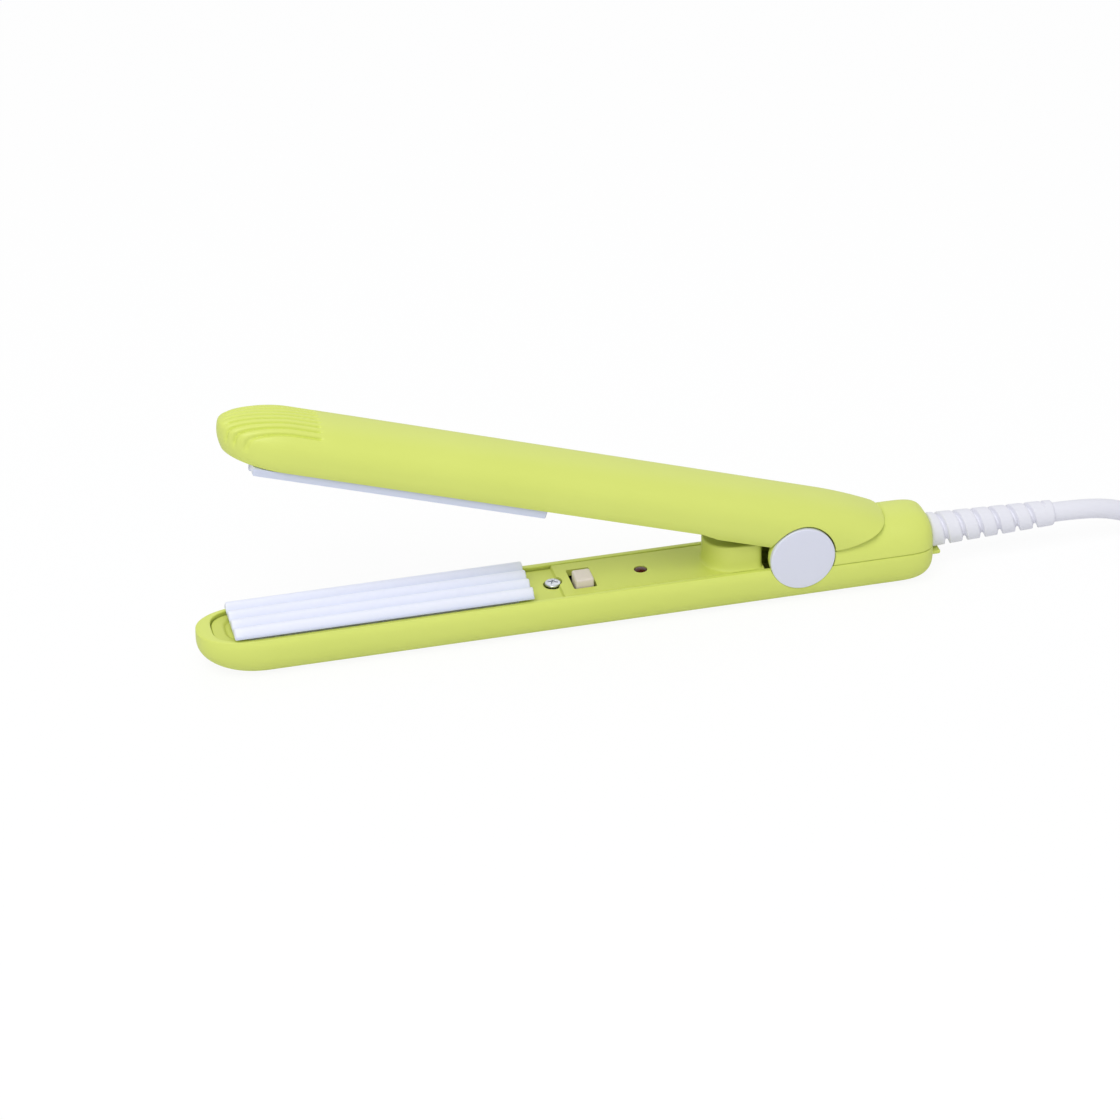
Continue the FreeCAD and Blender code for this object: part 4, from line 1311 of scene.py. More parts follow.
# ---- the jaw's inner cover --------------------------------------------------------------------
@dataclass
class JawPanel:
    """The flat cover in the lower jaw, with the spring boss, the switch slot and its holes."""

    workshop: Workshop
    half: float = 7.43
    nose_start: float = -127.9
    nose_reach: float = 12.58
    nose_plan: float = 3.3
    line_inset: float = 1.9
    line_width: float = 0.28
    line_depth: float = 0.45
    rear: float = -8.9
    low_top: float = -3.25
    high_top: float = PANEL_LEVEL
    step_place: float = -58.0
    step_run: float = 0.5
    thick: float = 1.6
    round_edge: float = 0.25
    boss_centre: float = -15.55
    boss_rear: float = -8.9
    boss_half: float = 6.65
    boss_top: float = 3.9
    boss_foot: float = 2.2
    boss_round: float = 0.5
    bore_place: float = -15.8
    bore: float = 2.9
    bore_edge: float = 0.3
    sunk: float = 0.9
    cup: float = 4.2
    cup_floor: float = -9.9
    cup_thick: float = 1.3
    slot_low: tuple[float, float] = (-54.8, -4.9)
    slot_high: tuple[float, float] = (-49.15, 4.25)
    slot_round: float = 0.45
    lamp_hole: float = 1.62
    screw_hole: float = 2.3
    cut_low: float = -8.0
    cut_high: float = 2.0
    foot_slope: float = 0.35

    def top(self, x: np.ndarray) -> np.ndarray:
        """Height of the face: low under the plate, then a smooth step up."""
        t = np.clip((x - self.step_place) / self.step_run, 0, 1)
        return self.low_top + (self.high_top - self.low_top) * smooth(t)

    def slab(self) -> Sheet:
        """The slab: rows from the middle over the round edge and back under it.

        At inset d the outline is y = (half - d) sin(t)^(2/p) round the nose, and each row is a
        share f of the way from the middle to it. A line is pressed into the face along the nose:
        depth * exp(-(distance / width)^2).

        Returns:
            The slab as a closed grid.
        """
        corner = np.radians([0, 30, 60, 90])
        fill = np.concatenate([np.linspace(0, 0.6, 6)[:-1], np.linspace(0.6, 1, 40)])
        flat = np.ones(len(fill))
        inset = self.round_edge * np.concatenate([flat, 1 - np.sin(corner[1:])])
        sink = self.round_edge * np.concatenate([0 * flat, 1 - np.cos(corner[1:])])
        share = np.concatenate([fill, np.ones(3)])
        stations = np.concatenate([spread(self.rear, self.step_place + self.step_run, step=2.0)[:-1],
                                   spread(self.step_place + self.step_run, self.step_place, step=0.06)[:-1],
                                   spread(self.step_place, self.nose_start, step=2.0)])
        turn = nose_turns(40)[1:]
        power = 2 / self.nose_plan
        reach, half = (self.nose_reach - inset) * share, (self.half - inset) * share
        x_nose = self.nose_start - reach[:, None] * np.cos(turn) ** power
        y_nose = half[:, None] * np.sin(turn) ** power
        x = np.concatenate([stations + 0 * inset[:, None], x_nose], axis=1)
        y = np.concatenate([half[:, None] + 0 * stations, y_nose], axis=1)
        from_line = (1 - share) * self.half - self.line_inset
        line = self.line_depth * np.exp(-(from_line / self.line_width) ** 2)
        ahead = np.clip((self.nose_start - x) / 2.0, 0, 1)
        z = self.top(x) - sink[:, None] - line[:, None] * ahead
        upper = both_sides(np.stack([x, -y, z], axis=-1))
        lower = upper.copy()
        lower[..., 2] = self.top(upper[..., 0]) - self.thick + sink[:, None]
        return Sheet(np.concatenate([upper, lower[::-1]]), cap_columns=True)

    def ring(self, turn: np.ndarray) -> Sheet:
        """The boss as profiles round a turn.

        In front, the outline is a half circle. Behind, it is a superellipse of exponent 8 that
        reaches the rear face. The foot flares out as a quarter circle.

        Args:
            turn: angles round the boss.

        Returns:
            The boss as a grid that closes both ways.
        """
        c, s = np.cos(turn), np.sin(turn)
        reach = self.boss_rear - self.boss_centre

        def outline(grow: float) -> np.ndarray:
            """Plan of the boss, grown sideways and forwards.

            Args:
                grow: how far it is grown.

            Returns:
                The plan's points.
            """
            half = self.boss_half + grow
            back = (np.abs(c / reach) ** 8 + np.abs(s / half) ** 8) ** (-1 / 8)
            radius = np.where(c > 0, np.where(np.abs(s) > 0, back, reach), half)
            return np.stack([self.boss_centre + radius * c, radius * s], axis=-1)

        bore = np.stack([self.bore_place + self.bore * c, self.bore * s], axis=-1)
        mouth = self.bore + self.bore_edge
        wide = np.stack([self.bore_place + mouth * c, mouth * s], axis=-1)
        under = self.high_top - self.sunk
        rows, levels = [bore, bore, wide], [under, self.boss_top - self.bore_edge, self.boss_top]
        for angle in np.radians(np.linspace(0, 90, 7)):
            rows.append(outline(-self.boss_round * (1 - math.sin(angle))))
            levels.append(self.boss_top - self.boss_round * (1 - math.cos(angle)))
        for angle in np.radians(np.linspace(0, 90, 8)):
            rows.append(outline(self.boss_foot * self.foot_slope * (1 - math.cos(angle))))
            levels.append(self.high_top + self.boss_foot * (1 - math.sin(angle)))
        rows.append(rows[-1])
        levels.append(under)
        grid = np.concatenate([np.stack(rows), np.zeros((len(rows), len(turn), 1))], axis=-1)
        grid[..., 2] = np.array(levels)[:, None]
        return Sheet(grid, wrap_rows=True, wrap_columns=True)

    def cup_sheet(self) -> Sheet:
        """The cup under the boss that the spring stands in.

        Returns:
            The cup as a closed grid.
        """
        top, floor = self.high_top - self.sunk, self.cup_floor
        inside = floor + self.cup_thick
        profile = np.array([[0, floor], [self.cup, floor], [self.cup, top], [self.bore, top],
                            [self.bore, inside], [0, inside]])
        return lathe(profile, "z", (self.bore_place, 0, 0))

    def holes(self) -> list[Sheet]:
        """The cutters: the switch slot, the lamp's hole, the screw's seat and the spring's bore.

        Returns:
            The cutters as closed grids.
        """
        low, high = self.cut_low, self.cut_high
        slot = rounded_box((*self.slot_low, low), (*self.slot_high, high), self.slot_round)
        rounds = ((LAMP_PLACE, self.lamp_hole), (PANEL_SCREW_PLACE, self.screw_hole),
                  (self.bore_place, self.bore))
        return [slot, *(drill(radius, low, high, (place, 0)) for place, radius in rounds)]

    def build(self) -> bpy.types.Object:
        """Makes the panel.

        Returns:
            The object, riding on its body.
        """
        piece = make_piece("jaw_panel", [self.slab()], Arm.LOWER)
        turn = np.linspace(0, 2 * np.pi, 144, endpoint=False)
        cut_and_join(piece, self.holes(), [self.ring(turn), self.cup_sheet()], Arm.LOWER)
        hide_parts("lower_inner_panel")
        self.workshop.dress(piece, Finish.PANEL)
        return piece


# ---- the waved plates -------------------------------------------------------------------------
@dataclass
class WavedPlate:
    """A crimp plate: four ridges along it, a shoulder over the rim and a narrow neck."""

    workshop: Workshop
    name: str
    node: str
    arm: Arm
    middle: float
    shoulder: float
    base: float
    start: float = -136.3
    end: float = -65.05
    half: float = 8.24
    neck: float = 6.4
    waves: int = 4
    rise: float = 0.85
    bevel: float = 0.45
    neck_start: float = 3.5

    def build(self) -> bpy.types.Object:
        """Makes the plate.

        The face is z = middle - rise cos(2 pi (y + half) / pitch), flat at the upper plate's two
        sides. It and the sides are drawn in over the last bevel of the length.

        Returns:
            The object, riding on its body.
        """
        way = 1.0 if self.arm is Arm.LOWER else -1.0
        ledge = np.linspace(-self.half, -self.neck, 14)
        y = np.concatenate([ledge, np.linspace(-self.neck, self.neck, 83), -ledge[::-1]])
        pitch = 2 * self.half / self.waves
        face = self.middle - self.rise * np.cos(2 * np.pi * (y + self.half) / pitch)
        if self.arm is Arm.UPPER:
            outer = np.abs(y) > self.half - pitch / 4
            face = np.where(outer, self.middle, face)
        inside = np.zeros(y.shape, dtype=bool)
        inside[len(ledge):-len(ledge)] = True
        back = np.where(inside, self.base, self.shoulder)
        t = np.linspace(0, np.pi / 2, 5)
        draw, end = self.bevel * (1 - np.sin(t)), self.bevel * (1 - np.cos(t))
        knots = np.array([2.5, self.neck_start - 0.05, self.neck_start + 0.05])
        middle = spread(*(self.start + knots), *(self.end - knots[::-1]), step=2.5)
        x = np.concatenate([self.start + end, middle, self.end - end[::-1]])
        inset = np.concatenate([draw, 0 * middle, draw[::-1]])
        grid_y = np.concatenate([y, y[::-1]])[:, None] * (1 - inset / self.half)
        top = face[:, None] - way * inset
        under = (x > self.start + self.neck_start) & (x < self.end - self.neck_start)
        bottom = np.where(under, back[:, None], self.shoulder)
        level = np.concatenate([top, bottom[::-1]])
        grid = np.stack([x + 0 * grid_y, grid_y, level], axis=-1)
        piece = make_piece(self.name, [Sheet(grid, wrap_rows=True, cap_columns=True)], self.arm, 40.0)
        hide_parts(self.node)
        self.workshop.dress(piece, Finish.PLATE)
        return piece


# ---- small parts ------------------------------------------------------------------------------
@dataclass
class HingeCaps:
    """The two flat caps over the hinge ears."""

    workshop: Workshop
    radius: float = 7.94
    inner: float = 8.65
    face: float = 9.8
    edge: float = 0.35
    back_edge: float = 0.1
    dish: float = 0.02
    dish_share: float = 0.6

    def build(self) -> list[bpy.types.Object]:
        """Makes both caps: a disc with a round edge and a hair of a dish in its face.

        Returns:
            The two objects, riding on the lower arm.
        """
        r, edge, thick = self.radius, self.edge, self.face - self.inner
        floor, back = thick - self.dish, self.back_edge
        profile = np.concatenate([[[0, 0], [r - back, 0], [r, back]],
                                  arc((r - edge, thick - edge), edge, 0, 90, 8),
                                  [[r * self.dish_share, floor], [0, floor]]])
        caps = []
        for side, axis, way in (("near", "-y", -1), ("far", "y", 1)):
            disc = lathe(profile, axis, (0, way * self.inner, 0), 160)
            piece = make_piece(f"cap_{side}", [disc], Arm.LOWER)
            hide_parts(f"hinge_cap_{side}")
            self.workshop.dress(piece, Finish.CAP)
            caps.append(piece)
        return caps


@dataclass(frozen=True)
class ScrewForm:
    """A cross-head screw: where its head is and which way it looks."""

    place: tuple[float, float]
    top: float
    end: float
    way: float = 1.0
    radius: float = 1.9
    dome: float = 0.28
    head: float = 1.2
    shank: float = 1.0
    arm_length: float = 1.15
    arm_half: float = 0.26
    depth: float = 0.75
    swing: float = 0.35
    edge: float = 0.12
    rim: float = 0.7
    taper: float = 0.5
    point: float = 0.2
    soft_side: float = 0.1
    soft_end: float = 0.12

    def sheet(self) -> Sheet:
        """The screw as rings from the middle of its head out, over its edge and down its shank.

        The head is z = top - dome (r / R)^2 - cross, where the cross is its depth times a soft step
        at the edges of two bars that lie over each other, and grows shallow towards their ends.

        Returns:
            The screw as a grid.
        """
        turn = np.linspace(0, 2 * np.pi, 192, endpoint=False)
        r = np.linspace(0, self.radius - self.edge, 44)[:, None]
        x, y = np.abs(r * np.cos(turn + self.swing)), np.abs(r * np.sin(turn + self.swing))
        near, far = np.minimum(x, y), np.maximum(x, y)
        inside = np.clip((self.arm_half - near) / self.soft_side + 0.5, 0, 1)
        inside *= np.clip((self.arm_length - far) / self.soft_end + 0.5, 0, 1)
        cross = self.depth * inside * np.clip(1.15 - 0.45 * far, 0, 1)
        sink = self.dome * (r / self.radius) ** 2 + cross
        length = abs(self.top - self.end)
        rings = np.array([[self.radius, self.dome + self.edge], [self.radius, self.rim],
                          [self.shank, self.head], [self.shank, length - self.taper],
                          [self.point, length], [0.0, length]])
        radius = np.concatenate([r + 0 * turn, rings[:, :1] + 0 * turn])
        sink = np.concatenate([sink, rings[:, 1:] + 0 * turn])
        grid = np.stack([radius * np.cos(turn), radius * np.sin(turn), self.top - self.way * sink], axis=-1)
        return Sheet(grid + np.array([*self.place, 0]), wrap_columns=True)


@dataclass
class Screws:
    """The screw in the jaw panel and the two under the rear end, in their wells."""

    workshop: Workshop
    panel_end: float = -10.4
    rear_head: float = -11.6
    rear_end: float = 0.4

    def build(self) -> list[bpy.types.Object]:
        """Makes the screws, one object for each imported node.

        Returns:
            The objects, each riding on its body.
        """
        forms = {"panel_screw": [ScrewForm((PANEL_SCREW_PLACE, 0.0), PANEL_LEVEL, self.panel_end)],
                 "rear_screws": [ScrewForm((REAR_SCREW_PLACE, way * REAR_SCREW_SIDE), self.rear_head,
                                           self.rear_end, -1.0) for way in (-1, 1)]}
        made = []
        for node, screws in forms.items():
            piece = make_piece(f"cross_{node}", [screw.sheet() for screw in screws], Arm.LOWER, 40.0)
            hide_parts(node)
            self.workshop.dress(piece, Finish.STEEL)
            made.append(piece)
        return made


@dataclass
class SwitchKnob:
    """The sliding knob, a soft-edged block."""

    workshop: Workshop
    low: tuple[float, float, float] = (-54.2, -4.5, -4.97)
    high: tuple[float, float, float] = (-49.8, 0.7, -0.4)

    def build(self) -> bpy.types.Object:
        """Makes the knob.

        Returns:
            The object, riding on its body.
        """
        piece = make_piece("slide_knob", [rounded_box(self.low, self.high, 0.55, 7)], Arm.KNOB)
        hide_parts("switch_slider")
        self.workshop.dress(piece, Finish.KNOB)
        return piece


@dataclass
class Lamp:
    """The domed lens of the indicator lamp."""

    workshop: Workshop
    place: float = LAMP_PLACE
    radius: float = 1.5
    foot: float = -7.8
    rim: float = -2.6
    dome: float = 0.5

    def build(self) -> bpy.types.Object:
        """Makes the lens: a rod with a spherical cap of radius (r^2 + h^2) / 2h.

        Returns:
            The object, riding on its body.
        """
        ball = (self.radius ** 2 + self.dome ** 2) / (2 * self.dome)
        angle = math.degrees(math.asin(self.radius / ball))
        cap = arc((0, self.rim + self.dome - ball), ball, 90 - angle, 90, 12)
        profile = np.concatenate([[[0, self.foot], [self.radius, self.foot]], cap])
        piece = make_piece("lamp_lens", [lathe(profile, "z", (self.place, 0, 0))], Arm.LOWER, 50.0)
        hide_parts("indicator_lamp")
        self.workshop.dress(piece, Finish.LENS)
        return piece


# ---- the cord ---------------------------------------------------------------------------------
@dataclass
class CordBoot:
    """The flexible boot: a tapered sleeve with slots that wind round it."""

    workshop: Workshop
    start: float = 32.58
    neck_end: float = 33.9
    end: float = 65.7
    level: float = CORD_LEVEL
    neck: float = 3.4
    thick: float = 4.2
    thin: float = 3.1
    pitch: float = 4.5
    depth: float = 1.25
    shift: float = 0.1

    def build(self) -> bpy.types.Object:
        """Makes the boot.

        Along x at turn t the radius is R(x) - depth * g(x / pitch + t / 2 pi + shift), where g is a soft
        trough over a third of each pitch. The slots fade at both ends.

        Returns:
            The object, riding on its body.
        """
        along = np.linspace(self.neck_end, self.end, 240)
        x = np.array([self.start, self.start, self.neck_end - 0.05, *along, self.end])
        sleeve = np.clip((x - self.neck_end) / (self.end - self.neck_end), 0, 1)
        shape = self.thick + (self.thin - self.thick) * sleeve ** 0.9
        rise = np.clip((x - self.neck_end) / 0.6, 0, 1)
        fall = np.clip((self.end - x) / 0.5, 0, 1)
        shape = shape - 0.5 * (1 - np.sqrt(1 - (1 - fall) ** 2))
        flare = (shape - self.neck) * np.sqrt(1 - (1 - rise) ** 2)
        radius = np.where(x < self.neck_end, self.neck, self.neck + flare)
        radius[0], radius[-1] = 0.0, 0.0
        turn = np.linspace(0, 2 * np.pi, 120, endpoint=False)
        phase = (x[:, None] / self.pitch + turn / (2 * np.pi) + self.shift) % 1.0
        trough = np.exp(-((phase - 0.5) / 0.12) ** 4)
        fade = np.clip((x - self.neck_end - 0.2) / 0.8, 0, 1)
        fade *= np.clip((self.end - 2.0 - x) / 0.8, 0, 1)
        r = radius[:, None] - self.depth * trough * fade[:, None]
        grid = np.stack([x[:, None] + 0 * turn, -r * np.cos(turn), self.level + r * np.sin(turn)], axis=-1)
        piece = make_piece("cord_boot", [Sheet(grid, wrap_columns=True)], Arm.LOWER, 50.0)
        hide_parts("strain_relief")
        self.workshop.dress(piece, Finish.CORD)
        return piece


@dataclass
class MainsPlug:
    """The plug body on the cord's far end: a grip that swells from the cord to a flat face."""

    workshop: Workshop
    waist: float = 3.3
    ring_depth: float = 0.35
    ring_start: float = 0.03
    ring_pitch: float = 0.05
    swell_start: float = 0.22
    swell_run: float = 0.42
    face_run: float = 0.03
    face_draw: float = 0.09
    squareness: float = 1.2

    def build(self) -> bpy.types.Object:
        """Makes the plug: sections |y / a|^n + |z / b|^n = 1 whose a and b grow smoothly along it.

        Returns:
            The object, riding on its body.
        """
        low, high = (np.array(corner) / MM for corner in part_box("plug_body"))
        middle, half = (low + high) / 2, (high - low) / 2
        share = np.concatenate([[0, 0], np.linspace(0, 1, 90)[1:-1], [1, 1]])
        grow = smooth(np.clip((share - self.swell_start) / self.swell_run, 0, 1))
        ringed = (share > self.ring_start) & (share < self.swell_start)
        ringed &= np.cos(share * 2 * np.pi / self.ring_pitch) > 0.3
        waist = self.waist - self.ring_depth * ringed
        face = np.clip((1 - share) / self.face_run, 0, 1)
        edge = 1 - self.face_draw * (1 - np.sqrt(1 - (1 - face) ** 2))
        wide = (waist + (half[1] - waist) * grow) * edge
        tall = (waist + (half[2] - waist) * grow) * edge
        wide[[0, -1]] = tall[[0, -1]] = 0
        power = 2 / (2 + self.squareness * grow)[:, None]
        turn = np.linspace(0, 2 * np.pi, 96, endpoint=False)
        y = wide[:, None] * np.sign(np.cos(turn)) * np.abs(np.cos(turn)) ** power
        z = tall[:, None] * np.sign(np.sin(turn)) * np.abs(np.sin(turn)) ** power
        x = high[0] - (high[0] - low[0]) * share[:, None] + 0 * y
        grid = np.stack([x, middle[1] + y, middle[2] + z], axis=-1) - np.array(HINGE.place)
        piece = make_piece("mains_plug", [Sheet(grid, wrap_columns=True)], Arm.LOWER, 50.0)
        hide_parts("plug_body")
        self.workshop.dress(piece, Finish.CORD)
        return piece


@dataclass
class MainsCord:
    """The mains cord: straight out of the boot, down to the floor and into a slim tied hank."""

    workshop: Workshop
    diameter: float = 4.8
    length: float = 1.45
    exit: tuple[float, float, float] = (118.45, 0.0, 10.4)
    route: tuple = ((118.45, 0.0, 10.4), (126.95, 0.0, 10.4), (135.95, 0.3, 8.5), (144.95, 0.1, 4.2),
                    (153.95, -0.3, 2.4), (162.95, 0.0, 2.4))
    middle: tuple[float, float] = (186.55, -15.6)
    run: float = 52.0
    outer: float = 15.6
    lane: float = 4.85
    straight_steps: int = 4
    arc_steps: int = 6
    turns: float = 7.5

    def hank(self) -> np.ndarray:
        """Control points of the hank, clockwise from the left end of its far run.

        A turn has four parts, each a quarter of s: far run, right end, near run, left end. The lane
        changes on the ends and the layer rises on the runs, each just before the place where the
        turn under it changed, so that the cord never meets itself.

        Returns:
            The points, (points, 3), in millimetres.
        """
        counts = (self.straight_steps, self.arc_steps) * 2
        parts = [(k + (n + 0.5) / steps) / 4 for k, steps in enumerate(counts) for n in range(steps)]
        s = (np.arange(9)[:, None] + np.array(parts)).ravel()
        s = s[(s > 0.08) & (s < self.turns)]
        outer = self.outer
        low, layer = self.diameter / 2, self.diameter + 0.02
        places = [0.78, 0.98, 2.27, 2.50, 3.78, 3.98, 5.27, 5.50, 6.78, 6.98]
        lanes = np.array([0, 1, 1, 0, 0, 1, 1, 0, 0, 1])
        radius = np.interp(s, places, outer - self.lane * lanes)
        rises = [1.52, 1.76, 3.02, 3.26, 4.52, 4.76, 6.02, 6.26, 7.10, 7.48]
        steps = np.array([0, 1, 1, 2, 2, 3, 3, 4, 4])
        height = np.interp(s, rises, [*(low + layer * steps), 30.0])
        part, share = np.floor((s % 1) * 4).astype(int), (s * 4) % 1
        on_end = (part == 1) | (part == 3)
        way = np.where(part <= 1, 1.0, -1.0)
        bow = math.cos(math.pi / 2 / self.arc_steps)
        swing = np.pi * share
        bend = self.run / 2 + radius / bow * np.sin(swing)
        along = np.where(on_end, bend, self.run * (share - 0.5))
        across = np.where(on_end, radius / bow * np.cos(swing), radius)
        return np.stack([self.middle[0] + way * along, self.middle[1] + way * across, height], axis=-1)

    def build(self, plug: bpy.types.Object, tie: bpy.types.Object) -> bpy.types.Object:
        """Makes the cord that the plug, its pins and the tie go with.

        Args:
            plug: the plug's object; not used.
            tie: the strap's object; not used.

        Returns:
            The cord's object, riding on the lower arm.
        """
        low, high = (np.array(corner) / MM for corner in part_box("plug_body"))
        tip = np.array([high[0], (low[1] + high[1]) / 2, (low[2] + high[2]) / 2])
        points = np.concatenate([np.array(self.route), self.hank(), tip[None]]) * MM
        curve = bpy.data.curves.new("mains_cord", "CURVE")
        curve.dimensions = "3D"
        curve.bevel_depth = self.diameter / 2 * MM
        curve.bevel_resolution = 6
        curve.resolution_u = 6
        curve.use_fill_caps = True
        spline = curve.splines.new("NURBS")
        spline.points.add(len(points) - 1)
        spline.points.foreach_set("co", np.concatenate([points, np.ones((len(points), 1))], axis=1).ravel())
        spline.order_u = 3
        spline.use_endpoint_u = True
        spline.use_smooth = True
        piece = bpy.data.objects.new("mains_cord", curve)
        bpy.context.scene.collection.objects.link(piece)
        curve.materials.append(self.workshop.made[Finish.CORD])
        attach(piece, Arm.LOWER.value)
        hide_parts("power_cord", "cord_coil")
        return piece


@dataclass
class HankTie:
    """The strap that holds the hank: a flat band, round at its corners."""

    workshop: Workshop
    place: float = 167.0
    width: float = 5.0
    thick: float = 0.6
    corner: float = 3.2

    def build(self) -> bpy.types.Object:
        """Makes the tie.

        Its middle line is a rounded rectangle round the hank and its section a flat oval,
        (thick / 2 cos(t)^0.5, width / 2 sin(t)^0.4).

        Returns:
            The object, riding on its body.
        """
        low, high = (np.array(corner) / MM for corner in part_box("cord_coil"))
        half = self.thick / 2
        low, high = low[1:] + (0, half), high[1:] + (0, half)
        turn, (middle_y, middle_z) = round_corners(low, high, self.corner, 9)
        section = np.linspace(0, 2 * np.pi, 20, endpoint=False)[:, None]
        out = half * np.sign(np.cos(section)) * np.abs(np.cos(section)) ** 0.5
        side = self.width / 2 * np.sign(np.sin(section)) * np.abs(np.sin(section)) ** 0.4
        y = middle_y + (self.corner + out) * np.cos(turn)
        z = middle_z + (self.corner + out) * np.sin(turn)
        grid = np.stack([self.place + side + 0 * y, y, z], axis=-1) - np.array(HINGE.place)
        piece = make_piece("hank_tie", [Sheet(grid, wrap_rows=True, wrap_columns=True)], Arm.LOWER)
        self.workshop.dress(piece, Finish.INSULATOR)
        return piece


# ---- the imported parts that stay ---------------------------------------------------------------
KEPT: dict[str, Finish] = {
    "upper_inner_panel": Finish.PANEL, "hinge_pin": Finish.STEEL, "arm_spring": Finish.STEEL,
    "lower_heater_element": Finish.CERAMIC, "upper_heater_element": Finish.CERAMIC,
    "lower_heater_clamp": Finish.STEEL, "upper_heater_clamp": Finish.STEEL,
    "lower_plate_carrier": Finish.INSULATOR, "upper_plate_carrier": Finish.INSULATOR,
    "lower_lead_wires": Finish.WIRE, "upper_lead_wires": Finish.WIRE, "mains_lead": Finish.WIRE,
    "circuit_board": Finish.BOARD, "board_components": Finish.COMPONENT, "switch_body": Finish.INSULATOR,
    "cord_clamp": Finish.INSULATOR, "upper_screws": Finish.STEEL,
    "plug_pins": Finish.PINS,
}


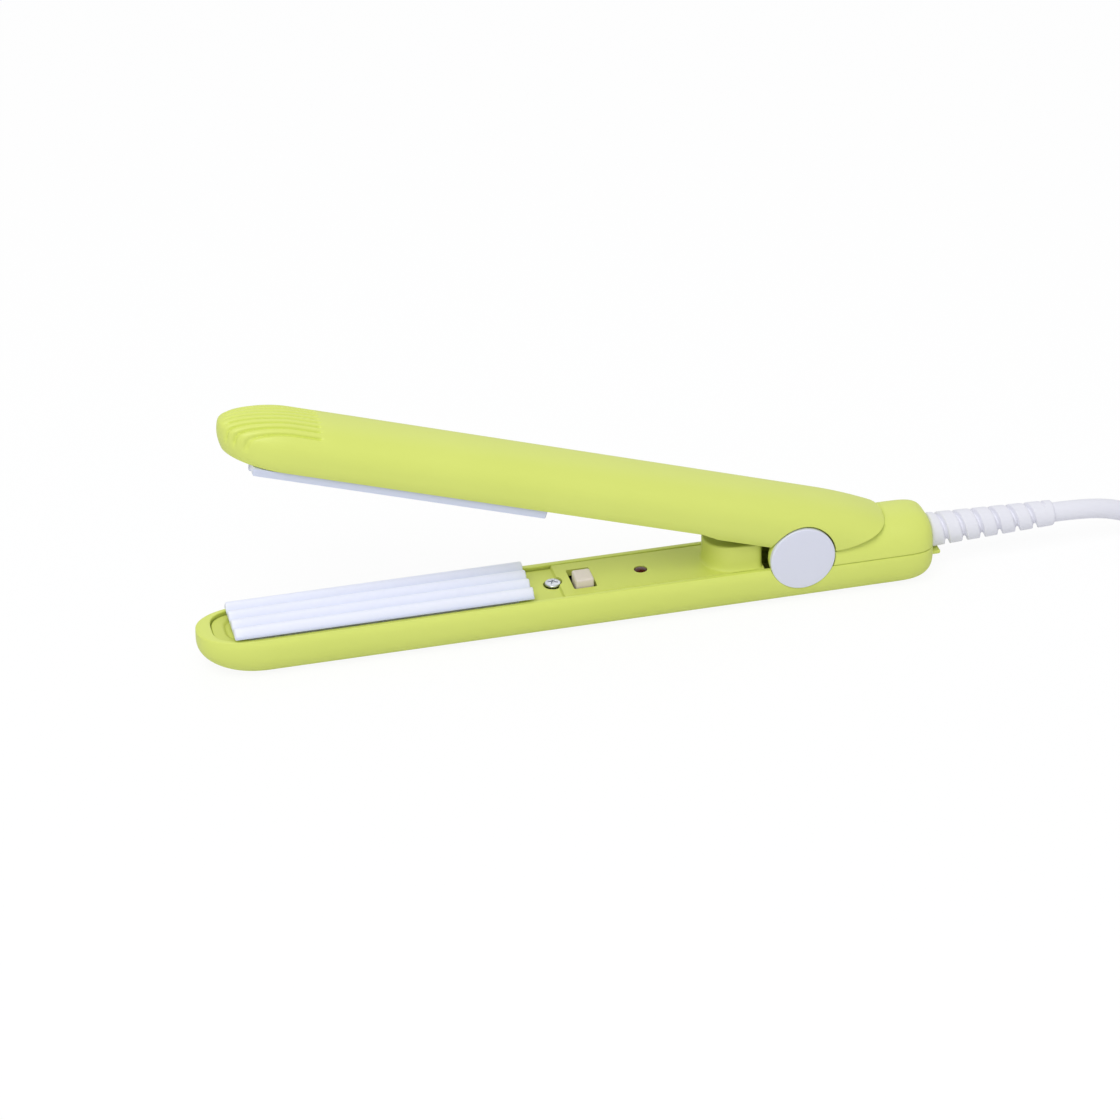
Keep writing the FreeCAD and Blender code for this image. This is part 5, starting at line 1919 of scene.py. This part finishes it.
# ---- the studio -------------------------------------------------------------------------------
@dataclass
class Studio:
    """A white floor, soft light from above and the camera."""

    target: tuple[float, float, float] = (-6.15, 0.0, 20.5)
    bearing: float = 12.78
    pitch: float = 30.0
    roll: float = -1.34
    distance: float = 939.0
    lens: float = 128.1
    shift: tuple[float, float] = (0.0073, -0.0136)
    ambient: float = 0.55
    floor_glow: float = 0.9
    glow_strength: float = 1.02
    reach: float = 4.0

    def camera(self) -> None:
        """Places the camera by its bearing, pitch and roll about its target."""
        bearing, pitch, roll = (math.radians(v) for v in (self.bearing, self.pitch, self.roll))
        level = math.cos(pitch)
        ahead = Vector((math.sin(bearing) * level, math.cos(bearing) * level, -math.sin(pitch)))
        right = Vector((math.cos(bearing), -math.sin(bearing), 0))
        up = right.cross(ahead)
        across = right * math.cos(roll) + up * math.sin(roll)
        above = up * math.cos(roll) - right * math.sin(roll)
        place = (Vector(self.target) - ahead * self.distance) * MM
        data = bpy.data.cameras.new("camera")
        data.lens, data.sensor_width = self.lens, 36.0
        data.shift_x, data.shift_y = self.shift
        data.clip_start, data.clip_end = 0.05, 20.0
        camera = bpy.data.objects.new("camera", data)
        turn = Matrix((across, above, -ahead)).transposed().to_4x4()
        camera.matrix_world = Matrix.Translation(place) @ turn
        bpy.context.scene.collection.objects.link(camera)
        bpy.context.scene.camera = camera

    def light(self, name: str, place: tuple, power: float, size: float) -> None:
        """Adds a square lamp that faces the object.

        Args:
            name: the lamp's name.
            place: where it stands, in metres.
            power: its power in watts.
            size: its side in metres.
        """
        data = bpy.data.lights.new(name, "AREA")
        data.energy, data.size = power, size
        lamp = bpy.data.objects.new(name, data)
        lamp.location = place
        lamp.rotation_euler = (Vector((0, 0, 0.02)) - Vector(place)).to_track_quat("-Z", "Y").to_euler()
        bpy.context.scene.collection.objects.link(lamp)

    def world(self) -> None:
        """A soft pale surround, which is white where it is seen directly or in a reflection."""
        world = bpy.data.worlds.new("surround")
        bpy.context.scene.world = world
        world.use_nodes = True
        nodes, links = world.node_tree.nodes, world.node_tree.links
        nodes.clear()
        path = nodes.new("ShaderNodeLightPath")
        seen = nodes.new("ShaderNodeMath")
        seen.operation = "MAXIMUM"
        links.new(path.outputs["Is Camera Ray"], seen.inputs[0])
        links.new(path.outputs["Is Transmission Ray"], seen.inputs[1])
        also = nodes.new("ShaderNodeMath")
        also.operation = "MAXIMUM"
        links.new(seen.outputs[0], also.inputs[0])
        links.new(path.outputs["Is Glossy Ray"], also.inputs[1])
        soft, white = nodes.new("ShaderNodeBackground"), nodes.new("ShaderNodeBackground")
        soft.inputs["Color"].default_value = (0.98, 0.99, 1.0, 1.0)
        soft.inputs["Strength"].default_value = self.ambient
        white.inputs["Color"].default_value = (1.0, 1.0, 1.0, 1.0)
        mix, output = nodes.new("ShaderNodeMixShader"), nodes.new("ShaderNodeOutputWorld")
        links.new(also.outputs[0], mix.inputs[0])
        links.new(soft.outputs[0], mix.inputs[1])
        links.new(white.outputs[0], mix.inputs[2])
        links.new(mix.outputs[0], output.inputs["Surface"])

    def floor(self) -> None:
        """A white floor that keeps the object's shadow, lifted to white where it is seen."""
        mesh = bpy.data.meshes.new("floor")
        corners = [(a * self.reach, b * self.reach, 0) for a, b in ((-1, -1), (1, -1), (1, 1), (-1, 1))]
        mesh.from_pydata(corners, [], [(0, 1, 2, 3)])
        floor = bpy.data.objects.new("floor", mesh)
        bpy.context.scene.collection.objects.link(floor)
        material = bpy.data.materials.new("floor_white")
        material.use_nodes = True
        nodes, links = material.node_tree.nodes, material.node_tree.links
        nodes.clear()
        path = nodes.new("ShaderNodeLightPath")
        plain, glow = nodes.new("ShaderNodeBsdfDiffuse"), nodes.new("ShaderNodeEmission")
        plain.inputs["Color"].default_value = (0.86, 0.86, 0.87, 1.0)
        glow.inputs["Color"].default_value = (1.0, 1.0, 1.0, 1.0)
        glow.inputs["Strength"].default_value = self.glow_strength
        share = nodes.new("ShaderNodeMath")
        share.operation = "MULTIPLY"
        links.new(path.outputs["Is Camera Ray"], share.inputs[0])
        share.inputs[1].default_value = self.floor_glow
        mix, output = nodes.new("ShaderNodeMixShader"), nodes.new("ShaderNodeOutputMaterial")
        links.new(share.outputs[0], mix.inputs[0])
        links.new(plain.outputs[0], mix.inputs[1])
        links.new(glow.outputs[0], mix.inputs[2])
        links.new(mix.outputs[0], output.inputs["Surface"])
        mesh.materials.append(material)

    def build(self) -> None:
        """Sets up the view, the floor and the light."""
        bpy.context.scene.view_settings.view_transform = "Standard"
        self.camera()
        self.world()
        self.floor()
        self.light("key", (-0.3, -0.6, 1.0), 6.6, 0.6)
        self.light("back", (0.3, 0.7, 0.8), 0.9, 0.8)


def main() -> None:
    """Builds every piece in order, dresses the imported parts that stay, then sets up the studio."""
    workshop = Workshop()
    makers = [
        LowerCasing(workshop), UpperCasing(workshop), RearCover(workshop), JawPanel(workshop),
        WavedPlate(workshop, "lower_waves", "lower_crimp_plate", Arm.LOWER, -0.35, -1.55, -4.4),
        WavedPlate(workshop, "upper_waves", "upper_crimp_plate", Arm.UPPER, -0.05, 1.75, 4.05),
        HingeCaps(workshop), Screws(workshop), SwitchKnob(workshop), Lamp(workshop), CordBoot(workshop),
    ]
    for maker in makers:
        maker.build()
        LOG.info("made %s", type(maker).__name__)
    plug = MainsPlug(workshop).build()
    tie = HankTie(workshop).build()
    cord = MainsCord(workshop).build(plug, tie)
    LOG.info("made %s, %s and %s", plug.name, tie.name, cord.name)
    for node, finish in KEPT.items():
        workshop.dress_node(node, finish)
        LOG.info("dressed %s", node)
    Studio().build()


if __name__ == "__main__":
    logging.basicConfig(level=logging.INFO, format="%(message)s")
    main()
